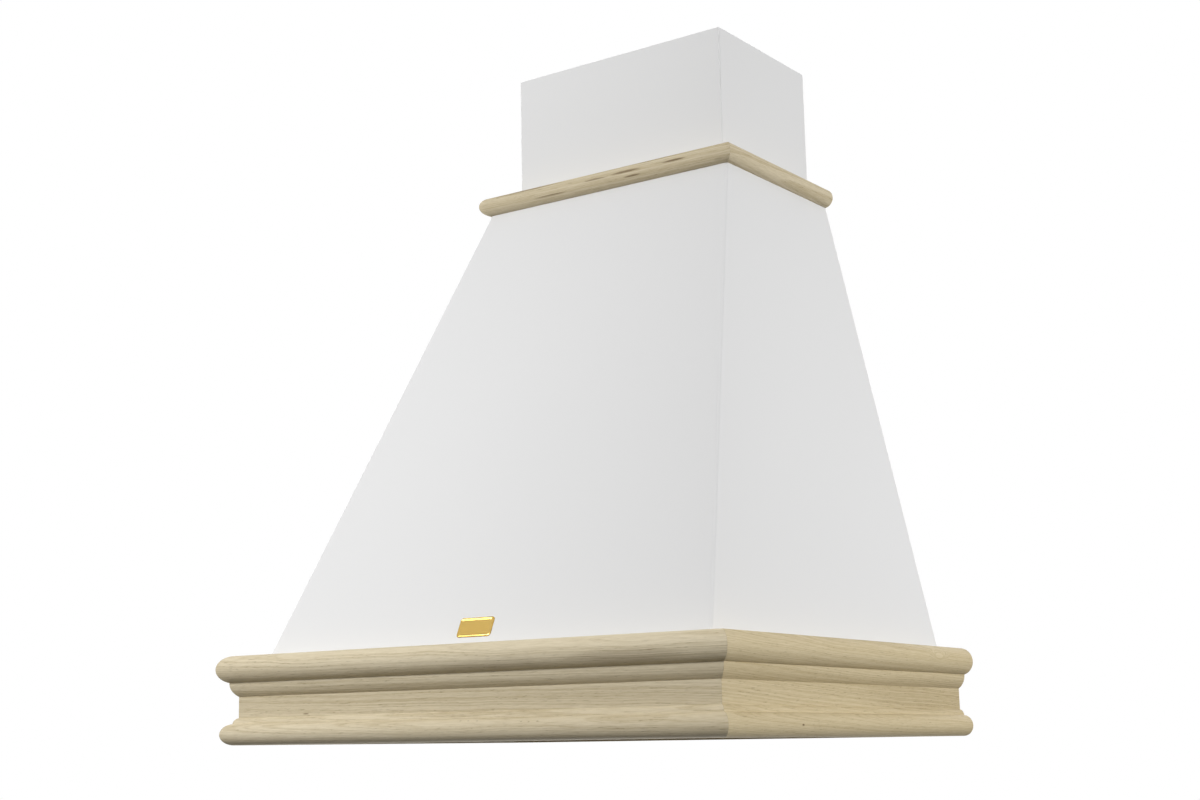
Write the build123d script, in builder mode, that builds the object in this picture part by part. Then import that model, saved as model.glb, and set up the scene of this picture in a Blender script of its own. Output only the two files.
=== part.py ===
from build123d import *
import math
import os

os.makedirs("parts", exist_ok=True)

# A wall-hung cooker hood with a moulded wooden frame round its foot, a folded
# sheet-metal casing that tapers to a chimney, and a half-round wooden collar.
# Millimetres. +X is to the right of someone facing the hood, -Y points out of
# the wall and +Z is up. The origin is the middle of the back, level with the
# underside of the frame.

# ------------------------------------------------------------ wooden frame
overall_width = 600.0
fascia_depth = 469.5
frame_height = 89.0
wood_thickness = 34.0
torus_radius = 13.8
torus_reach = 17.0
ovolo_reach = 7.0
ovolo_foot = 48.0
bead_top = 27.0
bead_reach = 4.4
foot_radius = 10.6
foot_reach = 13.6
rail_thickness = 20.0

# ------------------------------------------------------------ sheet casing
sheet = 1.0
casing_ledge = 21.2
casing_top = 585.5
side_ledge = 21.6
front_ledge = 28.6
fold_radius = 3.5
casing_flange = 12.0
edge_gap = 0.3

# ------------------------------------------------------------ collar
collar_height = 21.0
collar_reach = 9.8

# ------------------------------------------------------------ chimney
chimney_width = 266.8
chimney_depth = 184.4
chimney_top = 748.0
chimney_fold = 1.8
chimney_flange = 14.0
chimney_foot = 8.0
telescope_gap = 0.7
upper_chimney_length = 278.0

# ------------------------------------------------------------ underside
tray_height = 30.0
tray_flange = 30.0
tray_side_border = 17.0
tray_rear_border = 48.5
control_strip = 84.0
filter_thickness = 9.0
filter_lip = 9.0
filter_bar = 14.0
filter_gap = 1.5
latch_width = 30.0
latch_travel = 5.5

# ------------------------------------------------------------ lamps and switches
lamp_spacing = 340.0
lamp_radius = 27.0
bezel_radius = 33.0
lamp_depth = 28.0
switch_plate_thickness = 3.0
switch_plate_land = 8.0
switch_plate_corner = 5.0
cutout_margin = 4.0
button_size = 11.2
button_gap = 0.4
button_pitch = 20.0
button_reach = 3.0
button_collar = 1.4
control_box_height = 26.0

# ------------------------------------------------------------ blower
shaft_height = 250.0
impeller_radius = 72.0
impeller_width = 120.0
blade_depth = 13.0
blade_count = 30
shaft_radius = 4.0
running_gap = 0.05
scroll_clearance = 10.0
scroll_growth = 14.0
scroll_side_gap = 20.0
scroll_wall = 2.0
scroll_neck = 30.0
scroll_outlet_rise = 125.0
motor_radius = 38.0
motor_standoff = 7.0
mount_length = 12.0

# ------------------------------------------------------------ duct outlet
spigot_radius = 60.0
spigot_wall = 2.0
adapter_height = 45.0
spigot_shoulder = 1.5
spigot_length = 60.0
flap_height = 13.0
flap_thickness = 0.8
flap_pin_radius = 1.5
knuckle_radius = 2.8
flap_clearance = 0.8

# ------------------------------------------------------------ fasteners
screw_radius = 1.9
screw_head_radius = 3.4
screw_head_height = 1.6
pilot_gap = 0.05
hole_gap = 0.2
screw_hole_lead = 0.5
wall_hole_radius = 4.0
wall_hole_spacing_x = 160.0
wall_hole_rise = 51.0
wall_hole_drop = 45.5

# ------------------------------------------------------------ derived places
fascia_half = overall_width / 2 - torus_reach
wood_inner_half = fascia_half - wood_thickness
wood_inner_front = fascia_depth - wood_thickness
casing_foot_half = fascia_half - casing_ledge
casing_foot_depth = fascia_depth - casing_ledge
casing_rise = casing_top - frame_height
casing_top_width = chimney_width + 2 * side_ledge
casing_top_depth = chimney_depth + front_ledge
side_slope = (casing_foot_half - casing_top_width / 2) / casing_rise
front_slope = (casing_foot_depth - casing_top_depth) / casing_rise
side_wall = sheet * math.hypot(1, side_slope)
front_wall = sheet * math.hypot(1, front_slope)
chimney_half = chimney_width / 2
chimney_inner_half = chimney_half - sheet
chimney_inner_depth = chimney_depth - sheet
duct_y = -chimney_depth / 2
opening_width = wood_inner_half - filter_bar / 2 - tray_side_border
opening_length = wood_inner_front - control_strip - tray_rear_border
filter_width = opening_width - 2 * filter_gap
filter_length = opening_length - 2 * filter_gap
filter_x = filter_bar / 2 + opening_width / 2
filter_y = -(tray_rear_border + opening_length / 2)
filter_rear_y = filter_y + filter_length / 2
filter_front_y = filter_y - filter_length / 2
strip_y = -(wood_inner_front - control_strip / 2)
tray_top = tray_height + sheet
blade_inner_radius = impeller_radius - blade_depth
scroll_radius = impeller_radius + scroll_clearance
scroll_width = impeller_width + 2 * scroll_side_gap


def casing_half_at(height):
    """Half the casing's outer width at a height."""
    return casing_foot_half - side_slope * (height - frame_height)


def casing_depth_at(height):
    """The casing's outer depth at a height."""
    return casing_foot_depth - front_slope * (height - frame_height)


def finish(piece, name):
    """Label one sub-part and write its file."""
    piece.label = name
    export_step(piece, f"parts/{name}.step")


# ------------------------------------------------------------ screws
def screw_set(places, length):
    """Hexagon-head screws: each plane lies on the clamped face and points out of it."""
    with BuildPart() as screws:
        for place in places:
            with BuildSketch(place):
                RegularPolygon(screw_head_radius, 6)
            extrude(amount=screw_head_height)
            with BuildSketch(place):
                Circle(screw_radius)
            extrude(amount=-length)
    return screws.part


def screw_holes(places, length, gap):
    """The holes that a set of screws needs, from just above each plane inward."""
    with BuildPart() as holes:
        for place in places:
            with BuildSketch(place.offset(screw_hole_lead)):
                Circle(screw_radius + gap)
            extrude(amount=-length - screw_hole_lead)
    return holes.part


frame_screw_length = 16.0
frame_screw_height = tray_height + 0.6 * tray_flange
frame_screw_places = []
for side in (-1, 1):
    for share in (0.25, 0.75):
        frame_screw_places.append(
            Plane(
                origin=(side * (wood_inner_half - sheet), -share * wood_inner_front, frame_screw_height),
                z_dir=(-side, 0, 0),
            )
        )
for share in (-0.65, 0.65):
    frame_screw_places.append(
        Plane(
            origin=(share * wood_inner_half, -(wood_inner_front - sheet), frame_screw_height),
            z_dir=(0, 1, 0),
        )
    )
rail_screw_places = [
    Plane(
        origin=(share * wood_inner_half, -(rail_thickness + sheet), frame_screw_height),
        z_dir=(0, -1, 0),
    )
    for share in (-0.65, 0.65)
]

casing_screw_length = 16.0
casing_screw_inset = casing_flange / 2
casing_screw_places = []
for side in (-1, 1):
    for share in (0.2, 0.8):
        casing_screw_places.append(
            Plane(
                origin=(
                    side * (casing_foot_half - casing_screw_inset),
                    -share * casing_foot_depth,
                    frame_height + sheet,
                )
            )
        )
for share in (-0.6, 0.6):
    casing_screw_places.append(
        Plane(
            origin=(
                share * casing_foot_half,
                -(casing_foot_depth - casing_screw_inset),
                frame_height + sheet,
            )
        )
    )

collar_screw_length = 13.0
collar_screw_x = (chimney_half + chimney_foot + casing_top_width / 2) / 2
collar_screw_y = (chimney_depth + chimney_foot + casing_top_depth) / 2
collar_screw_places = []
for side in (-1, 1):
    for share in (0.3, 0.75):
        collar_screw_places.append(
            Plane(
                origin=(side * collar_screw_x, -share * chimney_depth, casing_top - sheet),
                z_dir=(0, 0, -1),
            )
        )
    collar_screw_places.append(
        Plane(
            origin=(side * 0.6 * chimney_half, -collar_screw_y, casing_top - sheet),
            z_dir=(0, 0, -1),
        )
    )

finish(screw_set(frame_screw_places + rail_screw_places, frame_screw_length), "frame_screws")
finish(screw_set(casing_screw_places, casing_screw_length), "casing_screws")
finish(screw_set(collar_screw_places, collar_screw_length), "collar_screws")

# ------------------------------------------------------------ dowels of the mitres
dowel_radius = 4.0
dowel_length = 30.0
dowel_inset = wood_thickness / 2
dowel_heights = (0.3 * frame_height, 0.7 * frame_height)


def corner_dowels(side, gap):
    """Dowels square to one front corner's mitre plane."""
    with BuildPart() as dowels:
        for height in dowel_heights:
            place = Plane(
                origin=(
                    side * (fascia_half - dowel_inset),
                    -(fascia_depth - dowel_inset),
                    height,
                ),
                z_dir=(side, 1, 0),
            )
            with BuildSketch(place):
                Circle(dowel_radius + gap)
            extrude(amount=dowel_length / 2 + gap, both=True)
    return dowels.part


with BuildPart() as mitre_dowels:
    add(corner_dowels(-1, 0))
    add(corner_dowels(1, 0))
finish(mitre_dowels.part, "mitre_dowels")


# ------------------------------------------------------------ base mouldings
# The section, from the top: a large torus, a quirk, an ovolo that turns into
# the flat fascia, a small bead and a second, smaller torus at the foot.
def moulding_section(place):
    """Section of the frame; x is the reach beyond the fascia and y the height."""
    torus_centre = frame_height - torus_radius
    torus_back = torus_reach - torus_radius
    foot_back = foot_reach - foot_radius
    quirk = torus_centre - math.sqrt(torus_radius**2 - (ovolo_reach - torus_back) ** 2)
    bead_foot = foot_radius + math.sqrt(foot_radius**2 - (bead_reach - foot_back) ** 2)
    ovolo_rise = quirk - ovolo_foot
    bead_drop = bead_top - bead_foot
    with BuildSketch(place) as section:
        with BuildLine():
            ThreePointArc(
                (torus_back, frame_height),
                (torus_reach, torus_centre),
                (ovolo_reach, quirk),
            )
            ThreePointArc(
                (ovolo_reach, quirk),
                (0.8 * ovolo_reach, ovolo_foot + 0.48 * ovolo_rise),
                (0, ovolo_foot),
            )
            Line((0, ovolo_foot), (0, bead_top))
            ThreePointArc(
                (0, bead_top),
                (0.72 * bead_reach, bead_top - 0.4 * bead_drop),
                (bead_reach, bead_foot),
            )
            ThreePointArc(
                (bead_reach, bead_foot),
                (foot_reach, foot_radius),
                (foot_back, 0),
            )
            Line((foot_back, 0), (-wood_thickness, 0))
            Line((-wood_thickness, 0), (-wood_thickness, frame_height))
            Line((-wood_thickness, frame_height), (torus_back, frame_height))
        make_face()
    return section.sketch


def mitre_plane(side):
    """The upright plane through one front corner, facing the side moulding."""
    return Plane(origin=(side * fascia_half, -fascia_depth, 0), z_dir=(side, 1, 0))


with BuildPart() as front_moulding:
    extrude(
        moulding_section(Plane(origin=(0, -fascia_depth, 0), x_dir=(0, -1, 0), z_dir=(-1, 0, 0))),
        amount=overall_width / 2 + torus_reach,
        both=True,
    )
    split(bisect_by=mitre_plane(1), keep=Keep.BOTTOM)
    split(bisect_by=mitre_plane(-1), keep=Keep.BOTTOM)
    add(corner_dowels(1, pilot_gap), mode=Mode.SUBTRACT)
    add(corner_dowels(-1, pilot_gap), mode=Mode.SUBTRACT)
    add(screw_holes(frame_screw_places, frame_screw_length + 1, pilot_gap), mode=Mode.SUBTRACT)
    add(screw_holes(casing_screw_places, casing_screw_length + 1, pilot_gap), mode=Mode.SUBTRACT)
finish(front_moulding.part, "front_moulding")

with BuildPart() as right_moulding:
    extrude(
        moulding_section(Plane(origin=(fascia_half, 0, 0), x_dir=(1, 0, 0), z_dir=(0, -1, 0))),
        amount=fascia_depth + 2 * torus_reach,
    )
    split(bisect_by=mitre_plane(1), keep=Keep.TOP)
    add(corner_dowels(1, pilot_gap), mode=Mode.SUBTRACT)
    add(screw_holes(frame_screw_places, frame_screw_length + 1, pilot_gap), mode=Mode.SUBTRACT)
    add(screw_holes(casing_screw_places, casing_screw_length + 1, pilot_gap), mode=Mode.SUBTRACT)
finish(right_moulding.part, "right_moulding")

with BuildPart() as left_moulding:
    mirror(right_moulding.part, about=Plane.YZ)
finish(left_moulding.part, "left_moulding")

# ------------------------------------------------------------ rear rail
with BuildPart() as rear_rail:
    with BuildSketch():
        with Locations((0, -rail_thickness / 2)):
            Rectangle(2 * wood_inner_half, rail_thickness)
    extrude(amount=frame_height)
    add(screw_holes(rail_screw_places, frame_screw_length + 1, pilot_gap), mode=Mode.SUBTRACT)
finish(rear_rail.part, "rear_rail")

# ------------------------------------------------------------ corner brackets
bracket_leg = 30.0
bracket_sheet = 2.0
bracket_low = tray_height + tray_flange + 3.0
bracket_high = frame_height - 4.0
with BuildPart() as corner_brackets:
    with BuildSketch(Plane.XY.offset(bracket_low)):
        for side in (-1, 1):
            corner_x = side * wood_inner_half
            corner_y = -wood_inner_front
            with BuildLine():
                Polyline(
                    (corner_x, corner_y),
                    (corner_x - side * bracket_leg, corner_y),
                    (corner_x - side * bracket_leg, corner_y + bracket_sheet),
                    (corner_x - side * bracket_sheet, corner_y + bracket_sheet),
                    (corner_x - side * bracket_sheet, corner_y + bracket_leg),
                    (corner_x, corner_y + bracket_leg),
                    close=True,
                )
            make_face()
    extrude(amount=bracket_high - bracket_low)
finish(corner_brackets.part, "corner_brackets")


# ------------------------------------------------------------ casing
def casing_hopper(side_inset, front_inset, fold, rear):
    """The tapered block within an inset of the casing, its two front folds rounded."""
    foot_half = casing_half_at(frame_height) - side_inset
    top_half = casing_half_at(casing_top) - side_inset
    foot_front = -(casing_depth_at(frame_height) - front_inset)
    top_front = -(casing_depth_at(casing_top) - front_inset)
    with BuildPart() as hopper:
        with BuildSketch(Plane.XZ.offset(-rear)):
            with BuildLine():
                Polyline(
                    (-foot_half, frame_height),
                    (foot_half, frame_height),
                    (top_half, casing_top),
                    (-top_half, casing_top),
                    close=True,
                )
            make_face()
        extrude(amount=casing_foot_depth + rear)
        with BuildSketch(Plane.YZ):
            with BuildLine():
                Polyline(
                    (rear, frame_height),
                    (foot_front, frame_height),
                    (top_front, casing_top),
                    (rear, casing_top),
                    close=True,
                )
            make_face()
        extrude(amount=casing_foot_half, both=True, mode=Mode.INTERSECT)
        front_face = hopper.faces().filter_by(Axis.Z, reverse=True).sort_by(Axis.Y)[0]
        fillet(front_face.edges().filter_by(Axis.X, reverse=True), fold)
    return hopper.part


with BuildPart() as casing:
    add(casing_hopper(0, 0, fold_radius, 0))
    add(casing_hopper(side_wall, front_wall, fold_radius - sheet, sheet), mode=Mode.SUBTRACT)
    # the foot turns inward and lies on the wooden frame
    with BuildSketch(Plane.XY.offset(frame_height)):
        with BuildLine():
            Polyline(
                (-casing_foot_half + side_wall / 2, -sheet),
                (-casing_foot_half + side_wall / 2, -casing_foot_depth + front_wall / 2),
                (casing_foot_half - side_wall / 2, -casing_foot_depth + front_wall / 2),
                (casing_foot_half - side_wall / 2, -sheet),
                close=True,
            )
        make_face()
        with BuildLine():
            Polyline(
                (-casing_foot_half + casing_flange, 1),
                (-casing_foot_half + casing_flange, -casing_foot_depth + casing_flange),
                (casing_foot_half - casing_flange, -casing_foot_depth + casing_flange),
                (casing_foot_half - casing_flange, 1),
                close=True,
            )
        make_face(mode=Mode.SUBTRACT)
    extrude(amount=sheet)
    # the top turns inward as far as the chimney and carries the collar
    with BuildSketch(Plane.XY.offset(casing_top - sheet)):
        with BuildLine():
            Polyline(
                (-casing_top_width / 2 + side_wall / 2, 0),
                (-casing_top_width / 2 + side_wall / 2, -casing_top_depth + front_wall / 2),
                (casing_top_width / 2 - side_wall / 2, -casing_top_depth + front_wall / 2),
                (casing_top_width / 2 - side_wall / 2, 0),
                close=True,
            )
        make_face()
        with BuildLine():
            Polyline(
                (-chimney_inner_half, 1),
                (-chimney_inner_half, -chimney_inner_depth),
                (chimney_inner_half, -chimney_inner_depth),
                (chimney_inner_half, 1),
                close=True,
            )
        make_face(mode=Mode.SUBTRACT)
    extrude(amount=sheet)
    # the rear edges turn inward in front of the back panel
    with BuildSketch(Plane.XZ.offset(sheet)):
        for inset, mode in ((side_wall / 2, Mode.ADD), (casing_flange, Mode.SUBTRACT)):
            foot = casing_foot_half - inset
            top = casing_top_width / 2 - inset
            with BuildLine():
                Polyline(
                    (-foot, frame_height),
                    (foot, frame_height),
                    (top, casing_top - sheet),
                    (-top, casing_top - sheet),
                    close=True,
                )
            make_face(mode=mode)
    extrude(amount=sheet)
    add(screw_holes(casing_screw_places, casing_screw_length, hole_gap), mode=Mode.SUBTRACT)
    add(screw_holes(collar_screw_places, collar_screw_length, hole_gap), mode=Mode.SUBTRACT)
finish(casing.part, "casing")

# ------------------------------------------------------------ back panel
back_top = casing_top - sheet
back_inset = side_wall + edge_gap
blower_bracket_x = 55.0
blower_bracket_rise = 50.0
blower_bracket_length = 60.0
blower_bracket_foot = 14.0
blower_bracket_low = shaft_height + blower_bracket_rise
wall_hole_low = frame_height + wall_hole_rise
wall_hole_high = casing_top - wall_hole_drop
rail_foot_inset = 2.0
bracket_plate = 1.5
blower_screw_length = bracket_plate + 0.8 * sheet
blower_screw_places = [
    Plane(
        origin=(
            side * (blower_bracket_x + blower_bracket_foot / 2),
            -sheet - bracket_plate,
            blower_bracket_low + share * blower_bracket_length,
        ),
        z_dir=(0, -1, 0),
    )
    for side in (-1, 1)
    for share in (0.2, 0.8)
]
finish(screw_set(blower_screw_places, blower_screw_length), "blower_screws")

with BuildPart() as back_panel:
    with BuildSketch(Plane.XZ):
        with BuildLine():
            Polyline(
                (-(casing_half_at(frame_height) - back_inset), frame_height),
                (casing_half_at(frame_height) - back_inset, frame_height),
                (casing_half_at(back_top) - back_inset, back_top),
                (-(casing_half_at(back_top) - back_inset), back_top),
                close=True,
            )
        make_face()
        with Locations((0, (wall_hole_low + wall_hole_high) / 2)):
            with GridLocations(wall_hole_spacing_x, wall_hole_high - wall_hole_low, 2, 2):
                Circle(wall_hole_radius, mode=Mode.SUBTRACT)
    extrude(amount=sheet)
    # a foot turned forward on to the rear rail
    with BuildSketch(Plane.XY.offset(frame_height)):
        with Locations((0, -rail_thickness / 2)):
            Rectangle(2 * (wood_inner_half - casing_flange), rail_thickness - rail_foot_inset)
    extrude(amount=sheet)
    add(screw_holes(blower_screw_places, blower_screw_length + 2, hole_gap), mode=Mode.SUBTRACT)
finish(back_panel.part, "back_panel")

# ------------------------------------------------------------ collar
collar_gap = 0.3
collar_round = collar_height / 2 - 0.05
collar_half = casing_top_width / 2 + collar_reach
collar_front_y = -(casing_top_depth + collar_reach)
collar_hole_half = chimney_half + collar_gap
collar_hole_front = -(chimney_depth + collar_gap)
mitre_x = collar_half - (collar_hole_front - collar_front_y)
rebate_width = chimney_foot + 0.5
rebate_height = sheet + 0.3


def collar_rebate():
    """The step under the collar that takes the turned-out foot of the chimney."""
    with BuildPart() as step:
        with BuildSketch(Plane.XY.offset(casing_top)):
            with BuildLine():
                Polyline(
                    (-chimney_half - rebate_width, 1),
                    (-chimney_half - rebate_width, -chimney_depth - rebate_width),
                    (chimney_half + rebate_width, -chimney_depth - rebate_width),
                    (chimney_half + rebate_width, 1),
                    close=True,
                )
            make_face()
        extrude(amount=rebate_height)
    return step.part


with BuildPart() as collar_front:
    with BuildSketch(Plane.XY.offset(casing_top)):
        with BuildLine():
            Polyline(
                (-mitre_x, collar_hole_front),
                (mitre_x, collar_hole_front),
                (collar_half, collar_front_y),
                (-collar_half, collar_front_y),
                close=True,
            )
        make_face()
    extrude(amount=collar_height)
    nosing = collar_front.edges().filter_by(Axis.X).group_by(Axis.Y)[0]
    fillet(nosing, collar_round)
    add(collar_rebate(), mode=Mode.SUBTRACT)
    add(screw_holes(collar_screw_places, collar_screw_length + 1, pilot_gap), mode=Mode.SUBTRACT)
finish(collar_front.part, "collar_front")

with BuildPart() as collar_right:
    with BuildSketch(Plane.XY.offset(casing_top)):
        with BuildLine():
            Polyline(
                (collar_hole_half, 0),
                (collar_hole_half, collar_hole_front),
                (mitre_x, collar_hole_front),
                (collar_half, collar_front_y),
                (collar_half, 0),
                close=True,
            )
        make_face()
    extrude(amount=collar_height)
    nosing = collar_right.edges().filter_by(Axis.Y).group_by(Axis.X)[-1]
    fillet(nosing, collar_round)
    add(collar_rebate(), mode=Mode.SUBTRACT)
    add(screw_holes(collar_screw_places, collar_screw_length + 1, pilot_gap), mode=Mode.SUBTRACT)
finish(collar_right.part, "collar_right")

with BuildPart() as collar_left:
    mirror(collar_right.part, about=Plane.YZ)
finish(collar_left.part, "collar_left")


# ------------------------------------------------------------ chimney
def chimney_sleeve(half, front, rear, low, high):
    """A sheet folded round three sides, with narrow flanges returned at the back."""
    with BuildPart() as sleeve:
        with BuildSketch(Plane.XY.offset(low)) as plan:
            with BuildLine():
                Polyline((-half, rear), (-half, front), (half, front), (half, rear), close=True)
            make_face()
            fillet(plan.vertices().group_by(Axis.Y)[0], chimney_fold)
            with Locations((0, (front + rear) / 2)):
                Rectangle(2 * (half - sheet), rear - front - 2 * sheet, mode=Mode.SUBTRACT)
            with Locations((0, rear - sheet / 2)):
                Rectangle(2 * (half - chimney_flange), 2 * sheet, mode=Mode.SUBTRACT)
        extrude(amount=high - low)
    return sleeve.part


with BuildPart() as chimney_lower:
    add(chimney_sleeve(chimney_half, -chimney_depth, 0, casing_top, chimney_top))
    # the foot turns outward under the collar
    with BuildSketch(Plane.XY.offset(casing_top)):
        with BuildLine():
            Polyline(
                (-chimney_half - chimney_foot, 0),
                (-chimney_half - chimney_foot, -chimney_depth - chimney_foot),
                (chimney_half + chimney_foot, -chimney_depth - chimney_foot),
                (chimney_half + chimney_foot, 0),
                close=True,
            )
        make_face()
        with BuildLine():
            Polyline(
                (-chimney_inner_half, 1),
                (-chimney_inner_half, -chimney_inner_depth),
                (chimney_inner_half, -chimney_inner_depth),
                (chimney_inner_half, 1),
                close=True,
            )
        make_face(mode=Mode.SUBTRACT)
    extrude(amount=sheet)
finish(chimney_lower.part, "chimney_lower")

upper_half = chimney_inner_half - telescope_gap
upper_front = -(chimney_inner_depth - telescope_gap)
upper_rear = -(sheet + telescope_gap)
upper_foot = chimney_top - upper_chimney_length
spreader_height = 24.0
spreader_drop = 12.0
spreader_ear = 26.0
spreader_high = chimney_top - spreader_drop
spreader_low = spreader_high - spreader_height
spreader_back = upper_rear - sheet
spreader_half = upper_half - sheet
chimney_screw_places = [
    Plane(
        origin=(
            side * (spreader_half - bracket_plate),
            spreader_back - spreader_ear * 0.6,
            (spreader_low + spreader_high) / 2,
        ),
        z_dir=(-side, 0, 0),
    )
    for side in (-1, 1)
]
chimney_screw_length = bracket_plate + 0.8 * sheet

with BuildPart() as chimney_upper:
    add(chimney_sleeve(upper_half, upper_front, upper_rear, upper_foot, chimney_top))
    add(screw_holes(chimney_screw_places, chimney_screw_length + 2, hole_gap), mode=Mode.SUBTRACT)
finish(chimney_upper.part, "chimney_upper")

# a strap across the back of the upper sleeve, with an ear turned forward at each side
with BuildPart() as chimney_bracket:
    with BuildSketch(Plane.XY.offset(spreader_low)):
        with BuildLine():
            Polyline(
                (-spreader_half, spreader_back),
                (-spreader_half, spreader_back - spreader_ear),
                (-spreader_half + bracket_plate, spreader_back - spreader_ear),
                (-spreader_half + bracket_plate, spreader_back - bracket_plate),
                (spreader_half - bracket_plate, spreader_back - bracket_plate),
                (spreader_half - bracket_plate, spreader_back - spreader_ear),
                (spreader_half, spreader_back - spreader_ear),
                (spreader_half, spreader_back),
                close=True,
            )
        make_face()
    extrude(amount=spreader_height)
    add(screw_holes(chimney_screw_places, chimney_screw_length + 2, hole_gap), mode=Mode.SUBTRACT)
finish(chimney_bracket.part, "chimney_bracket")
finish(screw_set(chimney_screw_places, chimney_screw_length), "chimney_screws")

# ------------------------------------------------------------ underside panel
button_names = ("button_light", "button_off", "button_low", "button_medium", "button_high")
button_collar_size = button_size + 2 * (button_gap + button_collar)
button_span = (len(button_names) - 1) * button_pitch
cutout_length = button_span + button_collar_size + 2 * cutout_margin
cutout_width = button_collar_size + 2 * cutout_margin
switch_plate_length = cutout_length + 2 * switch_plate_land
switch_plate_width = cutout_width + 2 * switch_plate_land

with BuildPart() as underside_panel:
    with BuildSketch(Plane.XY.offset(tray_height)):
        with Locations((0, -(wood_inner_front + rail_thickness) / 2)):
            Rectangle(2 * wood_inner_half, wood_inner_front - rail_thickness)
    extrude(amount=tray_flange)
    with BuildSketch(Plane.XY.offset(tray_top)):
        with Locations((0, -(wood_inner_front + rail_thickness) / 2)):
            Rectangle(
                2 * (wood_inner_half - sheet),
                wood_inner_front - rail_thickness - 2 * sheet,
            )
    extrude(amount=tray_flange, mode=Mode.SUBTRACT)
    with BuildSketch(Plane.XY.offset(tray_height)):
        with Locations((-filter_x, filter_y), (filter_x, filter_y)):
            RectangleRounded(opening_width, opening_length, filter_gap)
        with Locations((-lamp_spacing / 2, strip_y), (lamp_spacing / 2, strip_y)):
            Circle(lamp_radius + edge_gap)
        with Locations((0, strip_y)):
            Rectangle(cutout_length, cutout_width)
    extrude(amount=sheet, mode=Mode.SUBTRACT)
    add(
        screw_holes(frame_screw_places + rail_screw_places, frame_screw_length, hole_gap),
        mode=Mode.SUBTRACT,
    )
finish(underside_panel.part, "underside_panel")

# ------------------------------------------------------------ grease filters
# A channelled frame round a pack of expanded mesh. Two tabs at the rear lie on
# the panel and are the hinge; a sprung slide at the front holds the filter up.
seat_gap = 0.3
channel_wall = 1.5
channel_lip = 1.0
mesh_gap = 0.3
pleat_pitch = 9.0
pleat_wall = 1.6
latch_block_length = 24.0
latch_block_width = 2 * latch_width
latch_slot_low = channel_lip + 0.1
latch_slot_height = 2.6
latch_thickness = 2.2
latch_tongue = 5.0
latch_tail = 12.0
finger_hole_width = 18.0
finger_hole_front = 5.0
finger_hole_length = 14.0
finger_width = 14.0
finger_length = 6.0
finger_reach = 4.0
tab_spacing = 140.0
tab_width = 24.0
tab_reach = 8.0
tab_thickness = 2.0


def filter_frame(centre_x):
    """The channelled frame with its latch block and hinge tabs."""
    with BuildPart() as frame:
        with BuildSketch(Plane.XY.offset(tray_height)):
            with Locations((centre_x, filter_y)):
                RectangleRounded(filter_width, filter_length, filter_gap)
        extrude(amount=filter_thickness)
        with BuildSketch(Plane.XY.offset(tray_height)):
            with Locations((centre_x, filter_y)):
                Rectangle(filter_width - 2 * filter_lip, filter_length - 2 * filter_lip)
        extrude(amount=filter_thickness, mode=Mode.SUBTRACT)
        with BuildSketch(Plane.XY.offset(tray_height + channel_lip)):
            with Locations((centre_x, filter_y)):
                Rectangle(filter_width - 2 * channel_wall, filter_length - 2 * channel_wall)
        extrude(amount=filter_thickness - 2 * channel_lip, mode=Mode.SUBTRACT)
        with BuildSketch(Plane.XY.offset(tray_height)):
            with Locations((centre_x, filter_front_y + channel_wall / 2 + latch_block_length / 2)):
                Rectangle(latch_block_width, latch_block_length - channel_wall)
        extrude(amount=filter_thickness)
        with BuildSketch(Plane.XY.offset(tray_height + latch_slot_low)):
            with Locations((centre_x, filter_front_y + latch_tail)):
                Rectangle(latch_width + 2 * seat_gap, 2 * (latch_tail + latch_travel) + 1)
        extrude(amount=latch_slot_height, mode=Mode.SUBTRACT)
        with BuildSketch(Plane.XY.offset(tray_height)):
            with Locations((centre_x, filter_front_y + finger_hole_front + finger_hole_length / 2)):
                Rectangle(finger_hole_width, finger_hole_length)
        extrude(amount=latch_slot_low, mode=Mode.SUBTRACT)
        with BuildSketch(Plane.XY.offset(tray_top + seat_gap)):
            for side in (-1, 1):
                with Locations((centre_x + side * tab_spacing / 2, filter_rear_y + tab_reach / 2)):
                    Rectangle(tab_width, tab_reach + 1)
        extrude(amount=tab_thickness)
    return frame.part


def filter_mesh(centre_x):
    """The mesh pack: pleats that run from front to rear, notched round the latch block."""
    pleat_low = tray_height + channel_lip + mesh_gap
    pleat_rise = filter_thickness - 2 * (channel_lip + mesh_gap) - pleat_wall
    pack_width = filter_width - 2 * (channel_wall + mesh_gap)
    pack_length = filter_length - 2 * (channel_wall + mesh_gap)
    folds = 2 * round(pack_width / pleat_pitch)
    crests = [
        (
            centre_x - pack_width / 2 + index * pack_width / folds,
            pleat_low + pleat_rise * (index % 2),
        )
        for index in range(folds + 1)
    ]
    undersides = [(x, z + pleat_wall) for x, z in reversed(crests)]
    with BuildPart() as mesh:
        with BuildSketch(Plane.XZ.offset(-filter_y - pack_length / 2)):
            with BuildLine():
                Polyline(*crests, *undersides, close=True)
            make_face()
        extrude(amount=pack_length)
        with BuildSketch(Plane.XY.offset(tray_height)):
            with Locations((centre_x, filter_front_y + latch_block_length / 2)):
                Rectangle(latch_block_width + 2 * mesh_gap, latch_block_length + 2 * mesh_gap)
        extrude(amount=filter_thickness, mode=Mode.SUBTRACT)
    return mesh.part


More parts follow.
